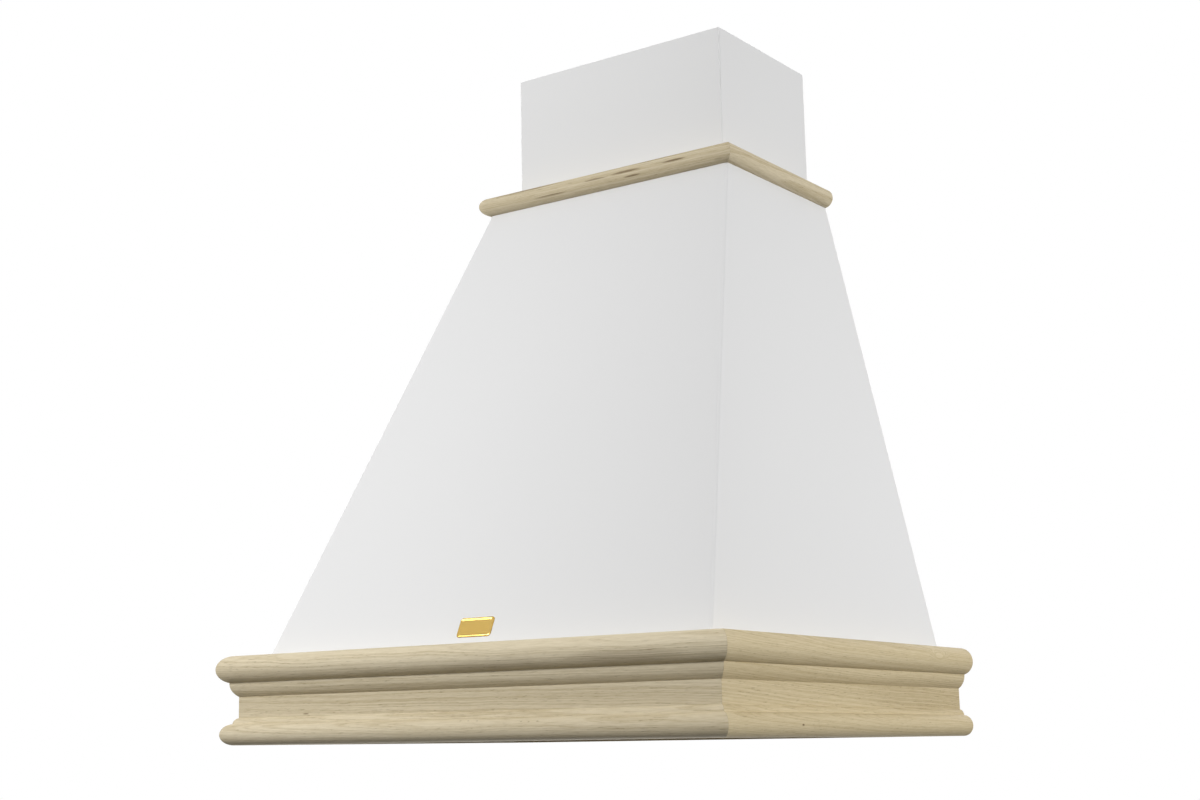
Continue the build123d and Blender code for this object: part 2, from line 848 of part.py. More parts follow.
def filter_latch(centre_x):
    """The sprung slide: a flat tongue with a finger tab that hangs below the frame."""
    latch_low = tray_height + latch_slot_low + (latch_slot_height - latch_thickness) / 2
    with BuildPart() as latch:
        with BuildSketch(Plane.XY.offset(latch_low)):
            with Locations((centre_x, filter_front_y + (latch_tail - latch_tongue) / 2)):
                Rectangle(latch_width, latch_tail + latch_tongue)
        extrude(amount=latch_thickness)
        with BuildSketch(Plane.XY.offset(tray_height - finger_reach)):
            with Locations((centre_x, filter_front_y + latch_tail - finger_length / 2)):
                Rectangle(finger_width, finger_length)
        extrude(amount=finger_reach + latch_low - tray_height + 0.5)
    return latch.part


for side_name, centre_x in (("left", -filter_x), ("right", filter_x)):
    finish(filter_frame(centre_x), f"filter_{side_name}_frame")
    finish(filter_mesh(centre_x), f"filter_{side_name}_mesh")
    finish(filter_latch(centre_x), f"filter_{side_name}_latch")

# ------------------------------------------------------------ lamps
lens_radius = 23.0
bezel_depth = 3.0
lens_thickness = 2.0
lamp_places = [(-lamp_spacing / 2, strip_y), (lamp_spacing / 2, strip_y)]
lamp_low = tray_height
fin_radius = lamp_radius - 3.0

with BuildPart() as lamp_bodies:
    with BuildSketch(Plane.XY.offset(lamp_low)):
        with Locations(lamp_places):
            Circle(lamp_radius)
    extrude(amount=lamp_depth * 0.4)
    with BuildSketch(Plane.XY.offset(lamp_low + lamp_depth * 0.4)):
        with Locations(lamp_places):
            Circle(fin_radius)
    extrude(amount=lamp_depth * 0.6)
finish(lamp_bodies.part, "lamp_bodies")

with BuildPart() as lamp_bezels:
    with BuildSketch(Plane.XY.offset(tray_height - bezel_depth)):
        with Locations(lamp_places):
            Circle(bezel_radius)
            Circle(lens_radius, mode=Mode.SUBTRACT)
    extrude(amount=bezel_depth)
    rims = lamp_bezels.edges().filter_by(GeomType.CIRCLE).group_by(Axis.Z)[0]
    chamfer(rims.filter_by(lambda rim: rim.radius > lens_radius + 1), bezel_depth * 0.6)
finish(lamp_bezels.part, "lamp_bezels")

with BuildPart() as lamp_lenses:
    with BuildSketch(Plane.XY.offset(tray_height - lens_thickness)):
        with Locations(lamp_places):
            Circle(lens_radius - 0.1)
    extrude(amount=lens_thickness)
finish(lamp_lenses.part, "lamp_lenses")

# ------------------------------------------------------------ switches
plate_low = tray_height - switch_plate_thickness
button_places = [
    (index * button_pitch - button_span / 2, strip_y) for index in range(len(button_names))
]
button_edge = 0.7
button_collar_thickness = 1.2
plate_edge = 1.0
box_wall = 2.0

with BuildPart() as switch_plate:
    with BuildSketch(Plane.XY.offset(plate_low)):
        with Locations((0, strip_y)):
            RectangleRounded(switch_plate_length, switch_plate_width, switch_plate_corner)
        with Locations(button_places):
            Rectangle(
                button_size + 2 * button_gap,
                button_size + 2 * button_gap,
                mode=Mode.SUBTRACT,
            )
    extrude(amount=switch_plate_thickness)
    chamfer(switch_plate.faces().sort_by(Axis.Z)[0].outer_wire().edges(), plate_edge)
finish(switch_plate.part, "switch_plate")

with BuildPart() as control_box:
    with BuildSketch(Plane.XY.offset(tray_top)):
        with Locations((0, strip_y)):
            Rectangle(switch_plate_length, cutout_width + 4 * box_wall)
    extrude(amount=control_box_height)
    with BuildSketch(Plane.XY.offset(tray_top)):
        with Locations((0, strip_y)):
            Rectangle(switch_plate_length - 2 * box_wall, cutout_width + 2 * box_wall)
    extrude(amount=control_box_height - box_wall, mode=Mode.SUBTRACT)
finish(control_box.part, "control_box")

for button_name, (button_x, button_y) in zip(button_names, button_places):
    with BuildPart() as button:
        with BuildSketch(Plane.XY.offset(plate_low - button_reach)):
            with Locations((button_x, button_y)):
                Rectangle(button_size, button_size)
        extrude(amount=button_reach + switch_plate_thickness)
        chamfer(button.faces().sort_by(Axis.Z)[0].edges(), button_edge)
        with BuildSketch(Plane.XY.offset(tray_height)):
            with Locations((button_x, button_y)):
                Rectangle(button_collar_size, button_collar_size)
        extrude(amount=button_collar_thickness)
    finish(button.part, button_name)

# ------------------------------------------------------------ blower scroll
# The wall opens by one step each quarter turn. Its arcs have their centres on
# the corners of a square, so that each quarter runs smoothly into the next.
half_step = scroll_growth / 2
scroll_outer = half_step + scroll_radius + 3 * scroll_growth
duct_in_scroll = (scroll_neck + scroll_outer) / 2
shaft_y = duct_y - duct_in_scroll
scroll_top = shaft_height + scroll_outlet_rise
side_plane = Plane(origin=(0, shaft_y, shaft_height), x_dir=(0, 1, 0), z_dir=(1, 0, 0))


def scroll_outline(place, inset, rise):
    """Outline of the scroll and its outlet neck, drawn in from the outer face."""
    neck = scroll_neck + inset
    first = scroll_radius - inset
    tongue = half_step + math.sqrt(first**2 - (neck + half_step) ** 2)
    tongue_angle = math.degrees(math.atan2(tongue - half_step, neck + half_step))
    with BuildSketch(place) as outline:
        with BuildLine():
            CenterArc((-half_step, half_step), first, tongue_angle, 90 - tongue_angle)
            CenterArc((-half_step, -half_step), first + scroll_growth, 90, 90)
            CenterArc((half_step, -half_step), first + 2 * scroll_growth, 180, 90)
            CenterArc((half_step, half_step), first + 3 * scroll_growth, 270, 90)
            Line((scroll_outer - inset, half_step), (scroll_outer - inset, rise))
            Line((scroll_outer - inset, rise), (neck, rise))
            Line((neck, rise), (neck, tongue))
        make_face()
    return outline.sketch


inlet_radius = blade_inner_radius + 1.0
with BuildPart() as scroll_right:
    extrude(scroll_outline(side_plane, 0, scroll_outlet_rise), amount=scroll_width / 2)
    extrude(
        scroll_outline(side_plane, scroll_wall, scroll_outlet_rise + 1),
        amount=scroll_width / 2 - scroll_wall,
        mode=Mode.SUBTRACT,
    )
    with BuildSketch(side_plane):
        Circle(inlet_radius)
    extrude(amount=scroll_width, mode=Mode.SUBTRACT)
finish(scroll_right.part, "scroll_right")

with BuildPart() as scroll_left:
    mirror(scroll_right.part, about=Plane.YZ)
finish(scroll_left.part, "scroll_left")

# ------------------------------------------------------------ inlet rings
# A bell mouth in each side plate: a flat rim outside, a cone and a straight
# throat that is a little narrower than the circle inside the blades.
ring_rim = 8.0
ring_sheet = 1.2
lip_reach = 16.0
throat_reach = 6.0
ring_seat_gap = 0.4
throat_gap = 1.6
throat_radius = blade_inner_radius - throat_gap
section_plane = Plane(origin=(0, shaft_y, shaft_height), x_dir=(1, 0, 0), z_dir=(0, -1, 0))
shaft_axis = Axis((0, shaft_y, shaft_height), (1, 0, 0))
plate_x = scroll_width / 2
with BuildPart() as inlet_rings:
    with BuildSketch(section_plane):
        with BuildLine():
            Polyline(
                (plate_x, inlet_radius + ring_rim),
                (plate_x, inlet_radius - ring_seat_gap),
                (plate_x - throat_reach, throat_radius),
                (plate_x - lip_reach, throat_radius),
                (plate_x - lip_reach, throat_radius - ring_sheet),
                (plate_x - throat_reach, throat_radius - ring_sheet),
                (plate_x + ring_sheet, inlet_radius - ring_sheet),
                (plate_x + ring_sheet, inlet_radius + ring_rim),
                close=True,
            )
        make_face()
    revolve(axis=shaft_axis)
    mirror(about=Plane.YZ)
finish(inlet_rings.part, "inlet_rings")

# ------------------------------------------------------------ impeller
# Forward-curved blades run right across between two end rings, through the
# disc that carries them on the hub.
blade_thickness = 1.2
ring_thickness = 1.6
hub_radius = 12.0
hub_length = 20.0
blade_lead = 9.0
blade_camber = 2.4


def blade_edge(offset):
    """Mid-line of one blade, shifted along the turn by an offset."""
    start = (blade_inner_radius + 0.4, offset)
    end = (
        (impeller_radius - 0.4) * math.cos(math.radians(blade_lead)),
        (impeller_radius - 0.4) * math.sin(math.radians(blade_lead)) + offset,
    )
    middle = (
        (start[0] + end[0]) / 2 + blade_camber * 0.6,
        (start[1] + end[1]) / 2 - blade_camber,
    )
    return start, middle, end


with BuildPart() as impeller:
    with BuildSketch(side_plane):
        with PolarLocations(0, blade_count):
            with BuildLine():
                low_start, low_middle, low_end = blade_edge(-blade_thickness / 2)
                high_start, high_middle, high_end = blade_edge(blade_thickness / 2)
                ThreePointArc(low_start, low_middle, low_end)
                Line(low_end, high_end)
                ThreePointArc(high_end, high_middle, high_start)
                Line(high_start, low_start)
            make_face()
    extrude(amount=impeller_width / 2 - ring_thickness / 2, both=True)
    for ring_x in (-impeller_width / 2, impeller_width / 2 - ring_thickness):
        with BuildSketch(side_plane.offset(ring_x)):
            Circle(impeller_radius)
            Circle(blade_inner_radius, mode=Mode.SUBTRACT)
        extrude(amount=ring_thickness)
    with BuildSketch(side_plane.offset(-ring_thickness / 2)):
        Circle(impeller_radius)
    extrude(amount=ring_thickness)
    with BuildSketch(side_plane.offset(-hub_length / 2)):
        Circle(hub_radius)
    extrude(amount=hub_length)
    with BuildSketch(side_plane):
        Circle(shaft_radius)
    extrude(amount=hub_length, both=True, mode=Mode.SUBTRACT)
finish(impeller.part, "impeller")

# ------------------------------------------------------------ motor
hub_gap = 3.0
shaft_stub = 4.0
mount_inset = 10.0
mount_radius = inlet_radius + ring_rim + mount_inset
spider_x = plate_x + mount_length
motor_start = hub_length / 2 + hub_gap
motor_end = spider_x - motor_standoff
shaft_start = -hub_length / 2 - shaft_stub
shaft_end = motor_start + 0.7 * (motor_end - motor_start)
bearing_radius = 14.0
bearing_length = 6.0
bell_radius = 28.0
bell_length = 14.0
with BuildPart() as motor_shaft:
    with BuildSketch(side_plane.offset(shaft_start)):
        Circle(shaft_radius)
    extrude(amount=shaft_end - shaft_start)
    chamfer(motor_shaft.edges().filter_by(GeomType.CIRCLE), 0.8)
finish(motor_shaft.part, "motor_shaft")

with BuildPart() as motor:
    with BuildSketch(section_plane):
        with BuildLine():
            Polyline(
                (motor_start, 0),
                (motor_start, bearing_radius),
                (motor_start + bearing_length, bearing_radius),
                (motor_start + bell_length, motor_radius),
                (motor_end - bell_length, motor_radius),
                (motor_end, bell_radius),
                (motor_end, 0),
                close=True,
            )
        make_face()
    revolve(axis=shaft_axis)
    with BuildSketch(side_plane.offset(motor_start)):
        Circle(shaft_radius + running_gap)
    extrude(amount=shaft_end - motor_start + 1, mode=Mode.SUBTRACT)
finish(motor.part, "motor")

# three arms from the motor's end bell to rubber mounts on the scroll's side
spider_ring = 34.0
spider_hole = bell_radius - 8.0
spider_plate = 2.5
arm_width = 12.0
foot_pad = 9.0
mount_outer = 7.0
bolt_length = spider_plate + mount_length
with BuildPart() as motor_bracket:
    with BuildSketch(side_plane.offset(spider_x)):
        Circle(spider_ring)
        with PolarLocations(mount_radius / 2, 3, start_angle=30):
            Rectangle(mount_radius, arm_width)
        with PolarLocations(mount_radius, 3, start_angle=30):
            Circle(foot_pad)
        Circle(spider_hole, mode=Mode.SUBTRACT)
        with PolarLocations(mount_radius, 3, start_angle=30):
            Circle(screw_radius + hole_gap, mode=Mode.SUBTRACT)
    extrude(amount=spider_plate)
    # a short collar that joins the plate to the motor's end bell
    with BuildSketch(side_plane.offset(motor_end)):
        Circle(bell_radius)
        Circle(spider_hole, mode=Mode.SUBTRACT)
    extrude(amount=spider_x - motor_end + spider_plate)
finish(motor_bracket.part, "motor_bracket")

with BuildPart() as motor_mounts:
    with BuildSketch(side_plane.offset(plate_x)):
        with PolarLocations(mount_radius, 3, start_angle=30):
            Circle(mount_outer)
            Circle(screw_radius + hole_gap, mode=Mode.SUBTRACT)
    extrude(amount=mount_length)
finish(motor_mounts.part, "motor_mounts")

bolt_places = []
for turn in (30, 150, 270):
    bolt_places.append(
        Plane(
            origin=(
                spider_x + spider_plate,
                shaft_y + mount_radius * math.cos(math.radians(turn)),
                shaft_height + mount_radius * math.sin(math.radians(turn)),
            ),
            z_dir=(1, 0, 0),
        )
    )
finish(screw_set(bolt_places, bolt_length), "motor_bolts")

# ------------------------------------------------------------ blower brackets
scroll_back_y = shaft_y + scroll_outer
with BuildPart() as blower_brackets:
    with BuildSketch(Plane.XY.offset(blower_bracket_low)):
        for side in (-1, 1):
            web = side * blower_bracket_x
            foot = side * (blower_bracket_x + blower_bracket_foot)
            inner = side * (blower_bracket_x - bracket_plate)
            with BuildLine():
                Polyline(
                    (inner, -sheet),
                    (foot, -sheet),
                    (foot, -sheet - bracket_plate),
                    (web, -sheet - bracket_plate),
                    (web, scroll_back_y + bracket_plate),
                    (foot, scroll_back_y + bracket_plate),
                    (foot, scroll_back_y),
                    (inner, scroll_back_y),
                    close=True,
                )
            make_face()
    extrude(amount=blower_bracket_length)
    add(screw_holes(blower_screw_places, blower_screw_length + 2, hole_gap), mode=Mode.SUBTRACT)
finish(blower_brackets.part, "blower_brackets")

# ------------------------------------------------------------ outlet adapter
# A hood over the scroll's mouth that turns it into a square shoulder, and the
# round duct spigot on top. A ledge inside the spigot is the stop of the two flaps.
spigot_low = scroll_top + adapter_height
shoulder_half = spigot_radius + spigot_shoulder
spigot_inner = spigot_radius - spigot_wall
flap_z = spigot_low + flap_height
ledge_width = 3.0
ledge_height = 2.0
flap_seat = 0.1
duct_depth = scroll_outer - scroll_neck
pin_end = spigot_radius - 0.6



def adapter_outline(place, foot_half, inset, high):
    """One side view of the adapter's hood, drawn in from the outer face."""
    foot = foot_half - inset
    shoulder = shoulder_half - inset
    with BuildSketch(place) as outline:
        with BuildLine():
            Polyline(
                (-foot, scroll_top),
                (foot, scroll_top),
                (shoulder, high),
                (-shoulder, high),
                close=True,
            )
        make_face()
    return outline.sketch


def adapter_hood(inset, high):
    """The straight-sided block above the scroll: front view crossed with side view."""
    front_view = Plane(origin=(0, duct_y, 0), x_dir=(1, 0, 0), z_dir=(0, -1, 0))
    side_view = Plane(origin=(0, duct_y, 0), x_dir=(0, 1, 0), z_dir=(1, 0, 0))
    with BuildPart() as hood:
        extrude(
            adapter_outline(front_view, scroll_width / 2, inset, high),
            amount=scroll_width,
            both=True,
        )
        extrude(
            adapter_outline(side_view, duct_depth / 2, inset, high),
            amount=scroll_width,
            both=True,
            mode=Mode.INTERSECT,
        )
    return hood.part


with BuildPart() as outlet_adapter:
    add(adapter_hood(0, spigot_low))
    add(adapter_hood(scroll_wall, spigot_low - scroll_wall), mode=Mode.SUBTRACT)
    with BuildSketch(Plane.XY.offset(spigot_low)):
        with Locations((0, duct_y)):
            Circle(spigot_radius)
    extrude(amount=spigot_length)
    with BuildSketch(Plane.XY.offset(spigot_low - scroll_wall)):
        with Locations((0, duct_y)):
            Circle(spigot_inner)
    extrude(amount=spigot_length + scroll_wall, mode=Mode.SUBTRACT)
    with BuildSketch(Plane.XY.offset(flap_z - flap_thickness / 2 - flap_seat)):
        with Locations((0, duct_y)):
            Circle(spigot_inner + 0.5)
            Circle(spigot_inner - ledge_width, mode=Mode.SUBTRACT)
    extrude(amount=-ledge_height)
    with BuildSketch(Plane(origin=(0, duct_y, flap_z), z_dir=(1, 0, 0))):
        Circle(flap_pin_radius + running_gap)
    extrude(amount=spigot_radius + 1, both=True, mode=Mode.SUBTRACT)
finish(outlet_adapter.part, "outlet_adapter")

with BuildPart() as flap_pin:
    with BuildSketch(Plane(origin=(0, duct_y, flap_z), z_dir=(1, 0, 0))):
        Circle(flap_pin_radius)
    extrude(amount=pin_end, both=True)
finish(flap_pin.part, "flap_pin")

flap_radius = spigot_inner - flap_clearance
knuckle_inset = 5.2
knuckle_span = (flap_radius - knuckle_inset) / 2
knuckle_gap = 0.3
flap_edge = knuckle_radius + 0.5


def duct_flap(side, knuckle_starts):
    """One half-disc flap with two knuckles round the pin; side is +1 towards the wall."""
    with BuildPart() as flap:
        with BuildSketch(Plane.XY.offset(flap_z - flap_thickness / 2)):
            with Locations((0, duct_y)):
                Circle(flap_radius)
                with Locations((0, -side * (flap_radius / 2 - flap_edge / 2))):
                    Rectangle(2 * flap_radius + 2, flap_radius + flap_edge, mode=Mode.SUBTRACT)
                for start in knuckle_starts:
                    with Locations((start + knuckle_span / 2, side * flap_edge / 2)):
                        Rectangle(knuckle_span - 2 * knuckle_gap, flap_edge + 0.2)
        extrude(amount=flap_thickness)
        for start in knuckle_starts:
            with BuildSketch(Plane(origin=(start + knuckle_gap, duct_y, flap_z), z_dir=(1, 0, 0))):
                Circle(knuckle_radius)
            extrude(amount=knuckle_span - 2 * knuckle_gap)
        with BuildSketch(Plane(origin=(0, duct_y, flap_z), z_dir=(1, 0, 0))):
            Circle(flap_pin_radius + running_gap)
        extrude(amount=flap_radius, both=True, mode=Mode.SUBTRACT)
    return flap.part


finish(duct_flap(-1, (-2 * knuckle_span, 0)), "flap_front")
finish(duct_flap(1, (-knuckle_span, knuckle_span)), "flap_rear")

# ------------------------------------------------------------ electrical parts
terminal_width = 60.0
terminal_height = 60.0
terminal_depth = 32.0
terminal_corner = 4.0
terminal_clearance = 4.0
terminal_rise = 81.0
lid_thickness = 3.0
lid_edge = 1.0
gland_across = 22.0
gland_bore = 4.5
gland_nut = 5.0
gland_cap = 12.0
gland_taper = 12.0
terminal_x = -(scroll_width / 2 + terminal_clearance + terminal_width / 2)
terminal_low = frame_height + terminal_rise
terminal_top = terminal_low + terminal_height
gland_y = -sheet - terminal_depth / 2


def gland_hole(gap):
    """The cable's way through the gland and the top of the terminal box."""
    with BuildPart() as hole:
        with BuildSketch(Plane.XY.offset(terminal_top - 2 * box_wall)):
            with Locations((terminal_x, gland_y)):
                Circle(gland_bore + gap)
        extrude(amount=2 * box_wall + gland_nut + gland_cap + 1)
    return hole.part


with BuildPart() as terminal_box:
    with BuildSketch(Plane.XZ.offset(sheet)):
        with Locations((terminal_x, terminal_low + terminal_height / 2)):
            RectangleRounded(terminal_width, terminal_height, terminal_corner)
    extrude(amount=terminal_depth)
    with BuildSketch(Plane.XZ.offset(sheet + box_wall)):
        with Locations((terminal_x, terminal_low + terminal_height / 2)):
            RectangleRounded(
                terminal_width - 2 * box_wall,
                terminal_height - 2 * box_wall,
                terminal_corner - box_wall,
            )
    extrude(amount=terminal_depth, mode=Mode.SUBTRACT)
    add(gland_hole(hole_gap), mode=Mode.SUBTRACT)
finish(terminal_box.part, "terminal_box")

with BuildPart() as terminal_box_lid:
    with BuildSketch(Plane.XZ.offset(sheet + terminal_depth)):
        with Locations((terminal_x, terminal_low + terminal_height / 2)):
            RectangleRounded(terminal_width, terminal_height, terminal_corner)
    extrude(amount=lid_thickness)
    chamfer(terminal_box_lid.faces().sort_by(Axis.Y)[0].edges(), lid_edge)
finish(terminal_box_lid.part, "terminal_box_lid")

with BuildPart() as cable_gland:
    with BuildSketch(Plane.XY.offset(terminal_top)):
        with Locations((terminal_x, gland_y)):
            RegularPolygon(gland_across / 2, 6, major_radius=False)
    extrude(amount=gland_nut)
    with BuildSketch(Plane.XY.offset(terminal_top + gland_nut)):
        with Locations((terminal_x, gland_y)):
            Circle(0.42 * gland_across)
    extrude(amount=gland_cap, taper=gland_taper)
    add(gland_hole(0), mode=Mode.SUBTRACT)
finish(cable_gland.part, "cable_gland")

capacitor_radius = 15.0
capacitor_length = 60.0
capacitor_x = 150.0
capacitor_rise = 26.0
capacitor_edge = 1.5
capacitor_low = frame_height + capacitor_rise
clamp_sheet = 1.0
clamp_height = 14.0
capacitor_y = -sheet - clamp_sheet - capacitor_radius
with BuildPart() as capacitor:
    with BuildSketch(Plane.XY.offset(capacitor_low)):
        with Locations((capacitor_x, capacitor_y)):
            Circle(capacitor_radius)
    extrude(amount=capacitor_length)
    chamfer(capacitor.edges().filter_by(GeomType.CIRCLE), capacitor_edge)
finish(capacitor.part, "capacitor")

with BuildPart() as capacitor_clamp:
    with BuildSketch(Plane.XY.offset(capacitor_low + (capacitor_length - clamp_height) / 2)):
        with Locations((capacitor_x, capacitor_y)):
            Circle(capacitor_radius + clamp_sheet)
        with Locations((capacitor_x, -sheet - clamp_sheet / 2)):
            Rectangle(4 * capacitor_radius, clamp_sheet)
        with Locations((capacitor_x, capacitor_y)):
            Circle(capacitor_radius, mode=Mode.SUBTRACT)
    extrude(amount=clamp_height)
finish(capacitor_clamp.part, "capacitor_clamp")
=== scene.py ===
# %% [markdown]
# # A country cooker hood
# The hood hangs on a wall. A white painted sheet casing tapers up to a square
# chimney, and only the trim is wood: a deep moulded frame round the foot and a
# half-round collar at the neck. The solid pieces come from the frame, at their
# real size and in their real place, so the work here is the camera, the light,
# the finish of every piece and the small things that sit on the surfaces.

import math

import bpy
from mathutils import Matrix, Vector


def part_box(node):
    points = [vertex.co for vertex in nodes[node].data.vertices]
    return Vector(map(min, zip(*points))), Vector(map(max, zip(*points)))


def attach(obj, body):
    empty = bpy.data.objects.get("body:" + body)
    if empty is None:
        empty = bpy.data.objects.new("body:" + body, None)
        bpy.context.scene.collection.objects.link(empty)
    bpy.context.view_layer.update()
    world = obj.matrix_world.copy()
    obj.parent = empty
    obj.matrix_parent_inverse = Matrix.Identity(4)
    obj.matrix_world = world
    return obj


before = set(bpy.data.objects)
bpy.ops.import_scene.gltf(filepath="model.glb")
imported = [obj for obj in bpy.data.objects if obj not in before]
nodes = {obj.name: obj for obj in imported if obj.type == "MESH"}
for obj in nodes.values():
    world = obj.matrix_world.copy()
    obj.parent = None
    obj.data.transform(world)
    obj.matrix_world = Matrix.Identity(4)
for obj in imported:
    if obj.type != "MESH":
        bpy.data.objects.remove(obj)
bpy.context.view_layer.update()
print("pieces of the frame:", len(nodes))

# %% [markdown]
# ## Camera
# The hood was photographed from a little below its foot and from its right, so
# that the front and the right side show. A camera is placed by where it stands
# and by three turns: the heading, the tilt upward and a slight roll. The long
# lens keeps the edges nearly parallel. The small shift stands for a picture that
# was trimmed more on one side than on the other.

# %% Camera
camera_place = Vector((1.0799, -1.7901, -0.0063))
camera_heading = math.radians(36.84)
camera_tilt = math.radians(10.705)
camera_roll = math.radians(-0.761)
lens_length = 55.05
sensor_width = 36.0
shift_right = 0.0571
shift_up = 0.0008

ahead = Vector(
    (
        -math.sin(camera_heading) * math.cos(camera_tilt),
        math.cos(camera_heading) * math.cos(camera_tilt),
        math.sin(camera_tilt),
    )
)
level_right = Vector((math.cos(camera_heading), math.sin(camera_heading), 0))
level_up = level_right.cross(ahead)
right = math.cos(camera_roll) * level_right + math.sin(camera_roll) * level_up
up = math.cos(camera_roll) * level_up - math.sin(camera_roll) * level_right

camera_data = bpy.data.cameras.new("camera")
camera_data.lens = lens_length
camera_data.sensor_width = sensor_width
camera_data.shift_x = shift_right
camera_data.shift_y = shift_up
camera = bpy.data.objects.new("camera", camera_data)
camera.matrix_world = Matrix.Translation(camera_place) @ Matrix((right, up, -ahead)).transposed().to_4x4()
bpy.context.scene.collection.objects.link(camera)
bpy.context.scene.camera = camera
bpy.context.scene.view_settings.view_transform = "Standard"
print("camera is", round(camera_place.length, 2), "m from the origin")

# %% [markdown]
# ## Shader arithmetic
# A material is a little machine of nodes. Written out one by one, its sums are
# hard to read, so the class below wraps a socket and lets the usual signs build
# the Math nodes: `1 - mask` or `rings * 0.3 + fibre`. Colours and directions have
# three parts, and a Math node would flatten them, so they are taken apart first.


# %% A socket that can be added and multiplied
class Wire:
    """One output socket of a graph, used like a number."""

    def __init__(self, graph, socket):
        self.graph = graph
        self.socket = socket

    def maths(self, operation, *values):
        return self.graph.node("ShaderNodeMath", {"operation": operation}, dict(enumerate(values)))

    def __add__(self, other):
        return self.maths("ADD", self, other)

    def __radd__(self, other):
        return self.maths("ADD", other, self)

    def __sub__(self, other):
        return self.maths("SUBTRACT", self, other)

    def __rsub__(self, other):
        return self.maths("SUBTRACT", other, self)

    def __mul__(self, other):
        return self.maths("MULTIPLY", self, other)

    def __rmul__(self, other):
        return self.maths("MULTIPLY", other, self)

    def __pow__(self, other):
        return self.maths("POWER", self, other)

    def __abs__(self):
        return self.maths("ABSOLUTE", self)

    def least(self, other):
        return self.maths("MINIMUM", self, other)

    def parts(self):
        """The three parts of a place, a direction or a colour."""
        split = self.graph.node("ShaderNodeSeparateXYZ", sockets={"Vector": self})
        return [Wire(self.graph, socket) for socket in split.socket.node.outputs]

    def zigzag(self, pitch):
        """0 at every whole pitch and 1 half way between."""
        return self.maths("PINGPONG", self * (2 / pitch), 1.0)

    def step(self, low, high):
        """0 below low and 1 above high, smooth between; or the other way if low is more."""
        ends = {"From Min": low, "From Max": high, "To Min": 0.0, "To Max": 1.0}
        if low > high:
            ends = {"From Min": high, "From Max": low, "To Min": 1.0, "To Max": 0.0}
        return self.graph.node(
            "ShaderNodeMapRange", {"interpolation_type": "SMOOTHSTEP"}, {"Value": self, **ends}
        )


print("a socket can now stand where a number stands")

# %% [markdown]
# The sockets live in a node tree. Every node comes from one method: its type, its
# settings, then its sockets, which take numbers, colours or other sockets. Rays
# that see a surface are told from rays that only carry light, because the floor
# and the room look brighter than they shine.

# %% A node tree
RAYS_THAT_SEE = ("Camera", "Glossy", "Transmission")


class Graph:
    """A node tree being built. Every node comes from one method."""

    def __init__(self, tree):
        self.tree = tree

    def node(self, kind, settings=None, sockets=None, out=0):
        """Add a node: its settings first, then its sockets; gives one of its outputs."""
        node = self.tree.nodes.new(kind)
        for name, value in (settings or {}).items():
            setattr(node, name, value)
        for name, value in (sockets or {}).items():
            if isinstance(value, Wire):
                self.tree.links.new(value.socket, node.inputs[name])
            else:
                node.inputs[name].default_value = value
        return Wire(self, node.outputs[out]) if node.outputs else None

    def blend(self, share, low, high):
        """A mix of two colours."""
        # The Mix node keeps its colour sockets after those for numbers and directions.
        sockets = {0: share, 6: low, 7: high}
        return self.node("ShaderNodeMix", {"data_type": "RGBA"}, sockets, out=2)

    def seen_directly(self):
        """1 for rays from the camera, a mirror or glass, and 0 for light."""
        rays = [self.node("ShaderNodeLightPath", out=f"Is {kind} Ray") for kind in RAYS_THAT_SEE]
        return (rays[0] + rays[1] + rays[2]).least(1)


print("rays that see:", ", ".join(RAYS_THAT_SEE))

# %% [markdown]
# ## A finish under construction
# Every finish here starts in the same way: an empty tree and the place of each
# point. Object coordinates are used throughout. They are in metres and stay with
# the piece when it moves, so a grain or a spangle has its real size and doesn't
# slide. `tint` makes a colour of light from screen values, which are easier to
# read off a paint card but aren't what a shader wants.


# %% Finishes
def tint(red, green, blue):
    """A colour of light from screen values of 0 to 255."""
    shares = [value / 255 for value in (red, green, blue)]
    light = [s / 12.92 if s <= 0.04045 else ((s + 0.055) / 1.055) ** 2.4 for s in shares]
    return (*light, 1.0)


def darker(colour, share):
    """The same colour with less light."""
    return (*[part * share for part in colour[:3]], 1.0)


class Finish(Graph):
    """A material being made."""

    def __init__(self, name):
        self.material = bpy.data.materials.new(name)
        self.material.use_nodes = True
        self.material.node_tree.nodes.clear()
        super().__init__(self.material.node_tree)

    def spot(self):
        """Where the point lies on the piece, in metres."""
        return self.node("ShaderNodeTexCoord", out="Object")

    def place(self):
        """The same as three numbers."""
        return self.spot().parts()

    def point(self, x, y, z):
        """A place made of three numbers, to look a texture up with."""
        return self.node("ShaderNodeCombineXYZ", sockets={"X": x, "Y": y, "Z": z})

    def noise(self, point, detail=2.0, roughness=0.5, scale=1.0):
        """Soft noise between 0 and 1."""
        sockets = {"Vector": point, "Scale": scale, "Detail": detail, "Roughness": roughness}
        return self.node("ShaderNodeTexNoise", sockets=sockets)

    def cells(self, point, scale, feature="F1", out=0):
        """Voronoi cells: how far the nearest centre is, or another output."""
        return self.node(
            "ShaderNodeTexVoronoi", {"feature": feature}, {"Vector": point, "Scale": scale}, out
        )

    def bump(self, height, depth):
        """A relief of a given depth in metres, where height runs from 0 to 1."""
        return self.node("ShaderNodeBump", sockets={"Height": height, "Distance": depth})

    def skin(self, **sockets):
        """The Principled shader, with the sockets that this finish sets."""
        named = {name.replace("_", " "): value for name, value in sockets.items()}
        return self.node("ShaderNodeBsdfPrincipled", sockets=named)

    def done(self, shader):
        """Close the tree with its output and give the material."""
        self.node("ShaderNodeOutputMaterial", sockets={"Surface": shader})
        return self.material


def dress(material, *names):
    """Put one finish on CAD nodes."""
    for name in names:
        for slot in nodes[name].material_slots:
            slot.material = material


print("a screen value of 226 as light:", round(tint(226, 226, 226)[0], 3))

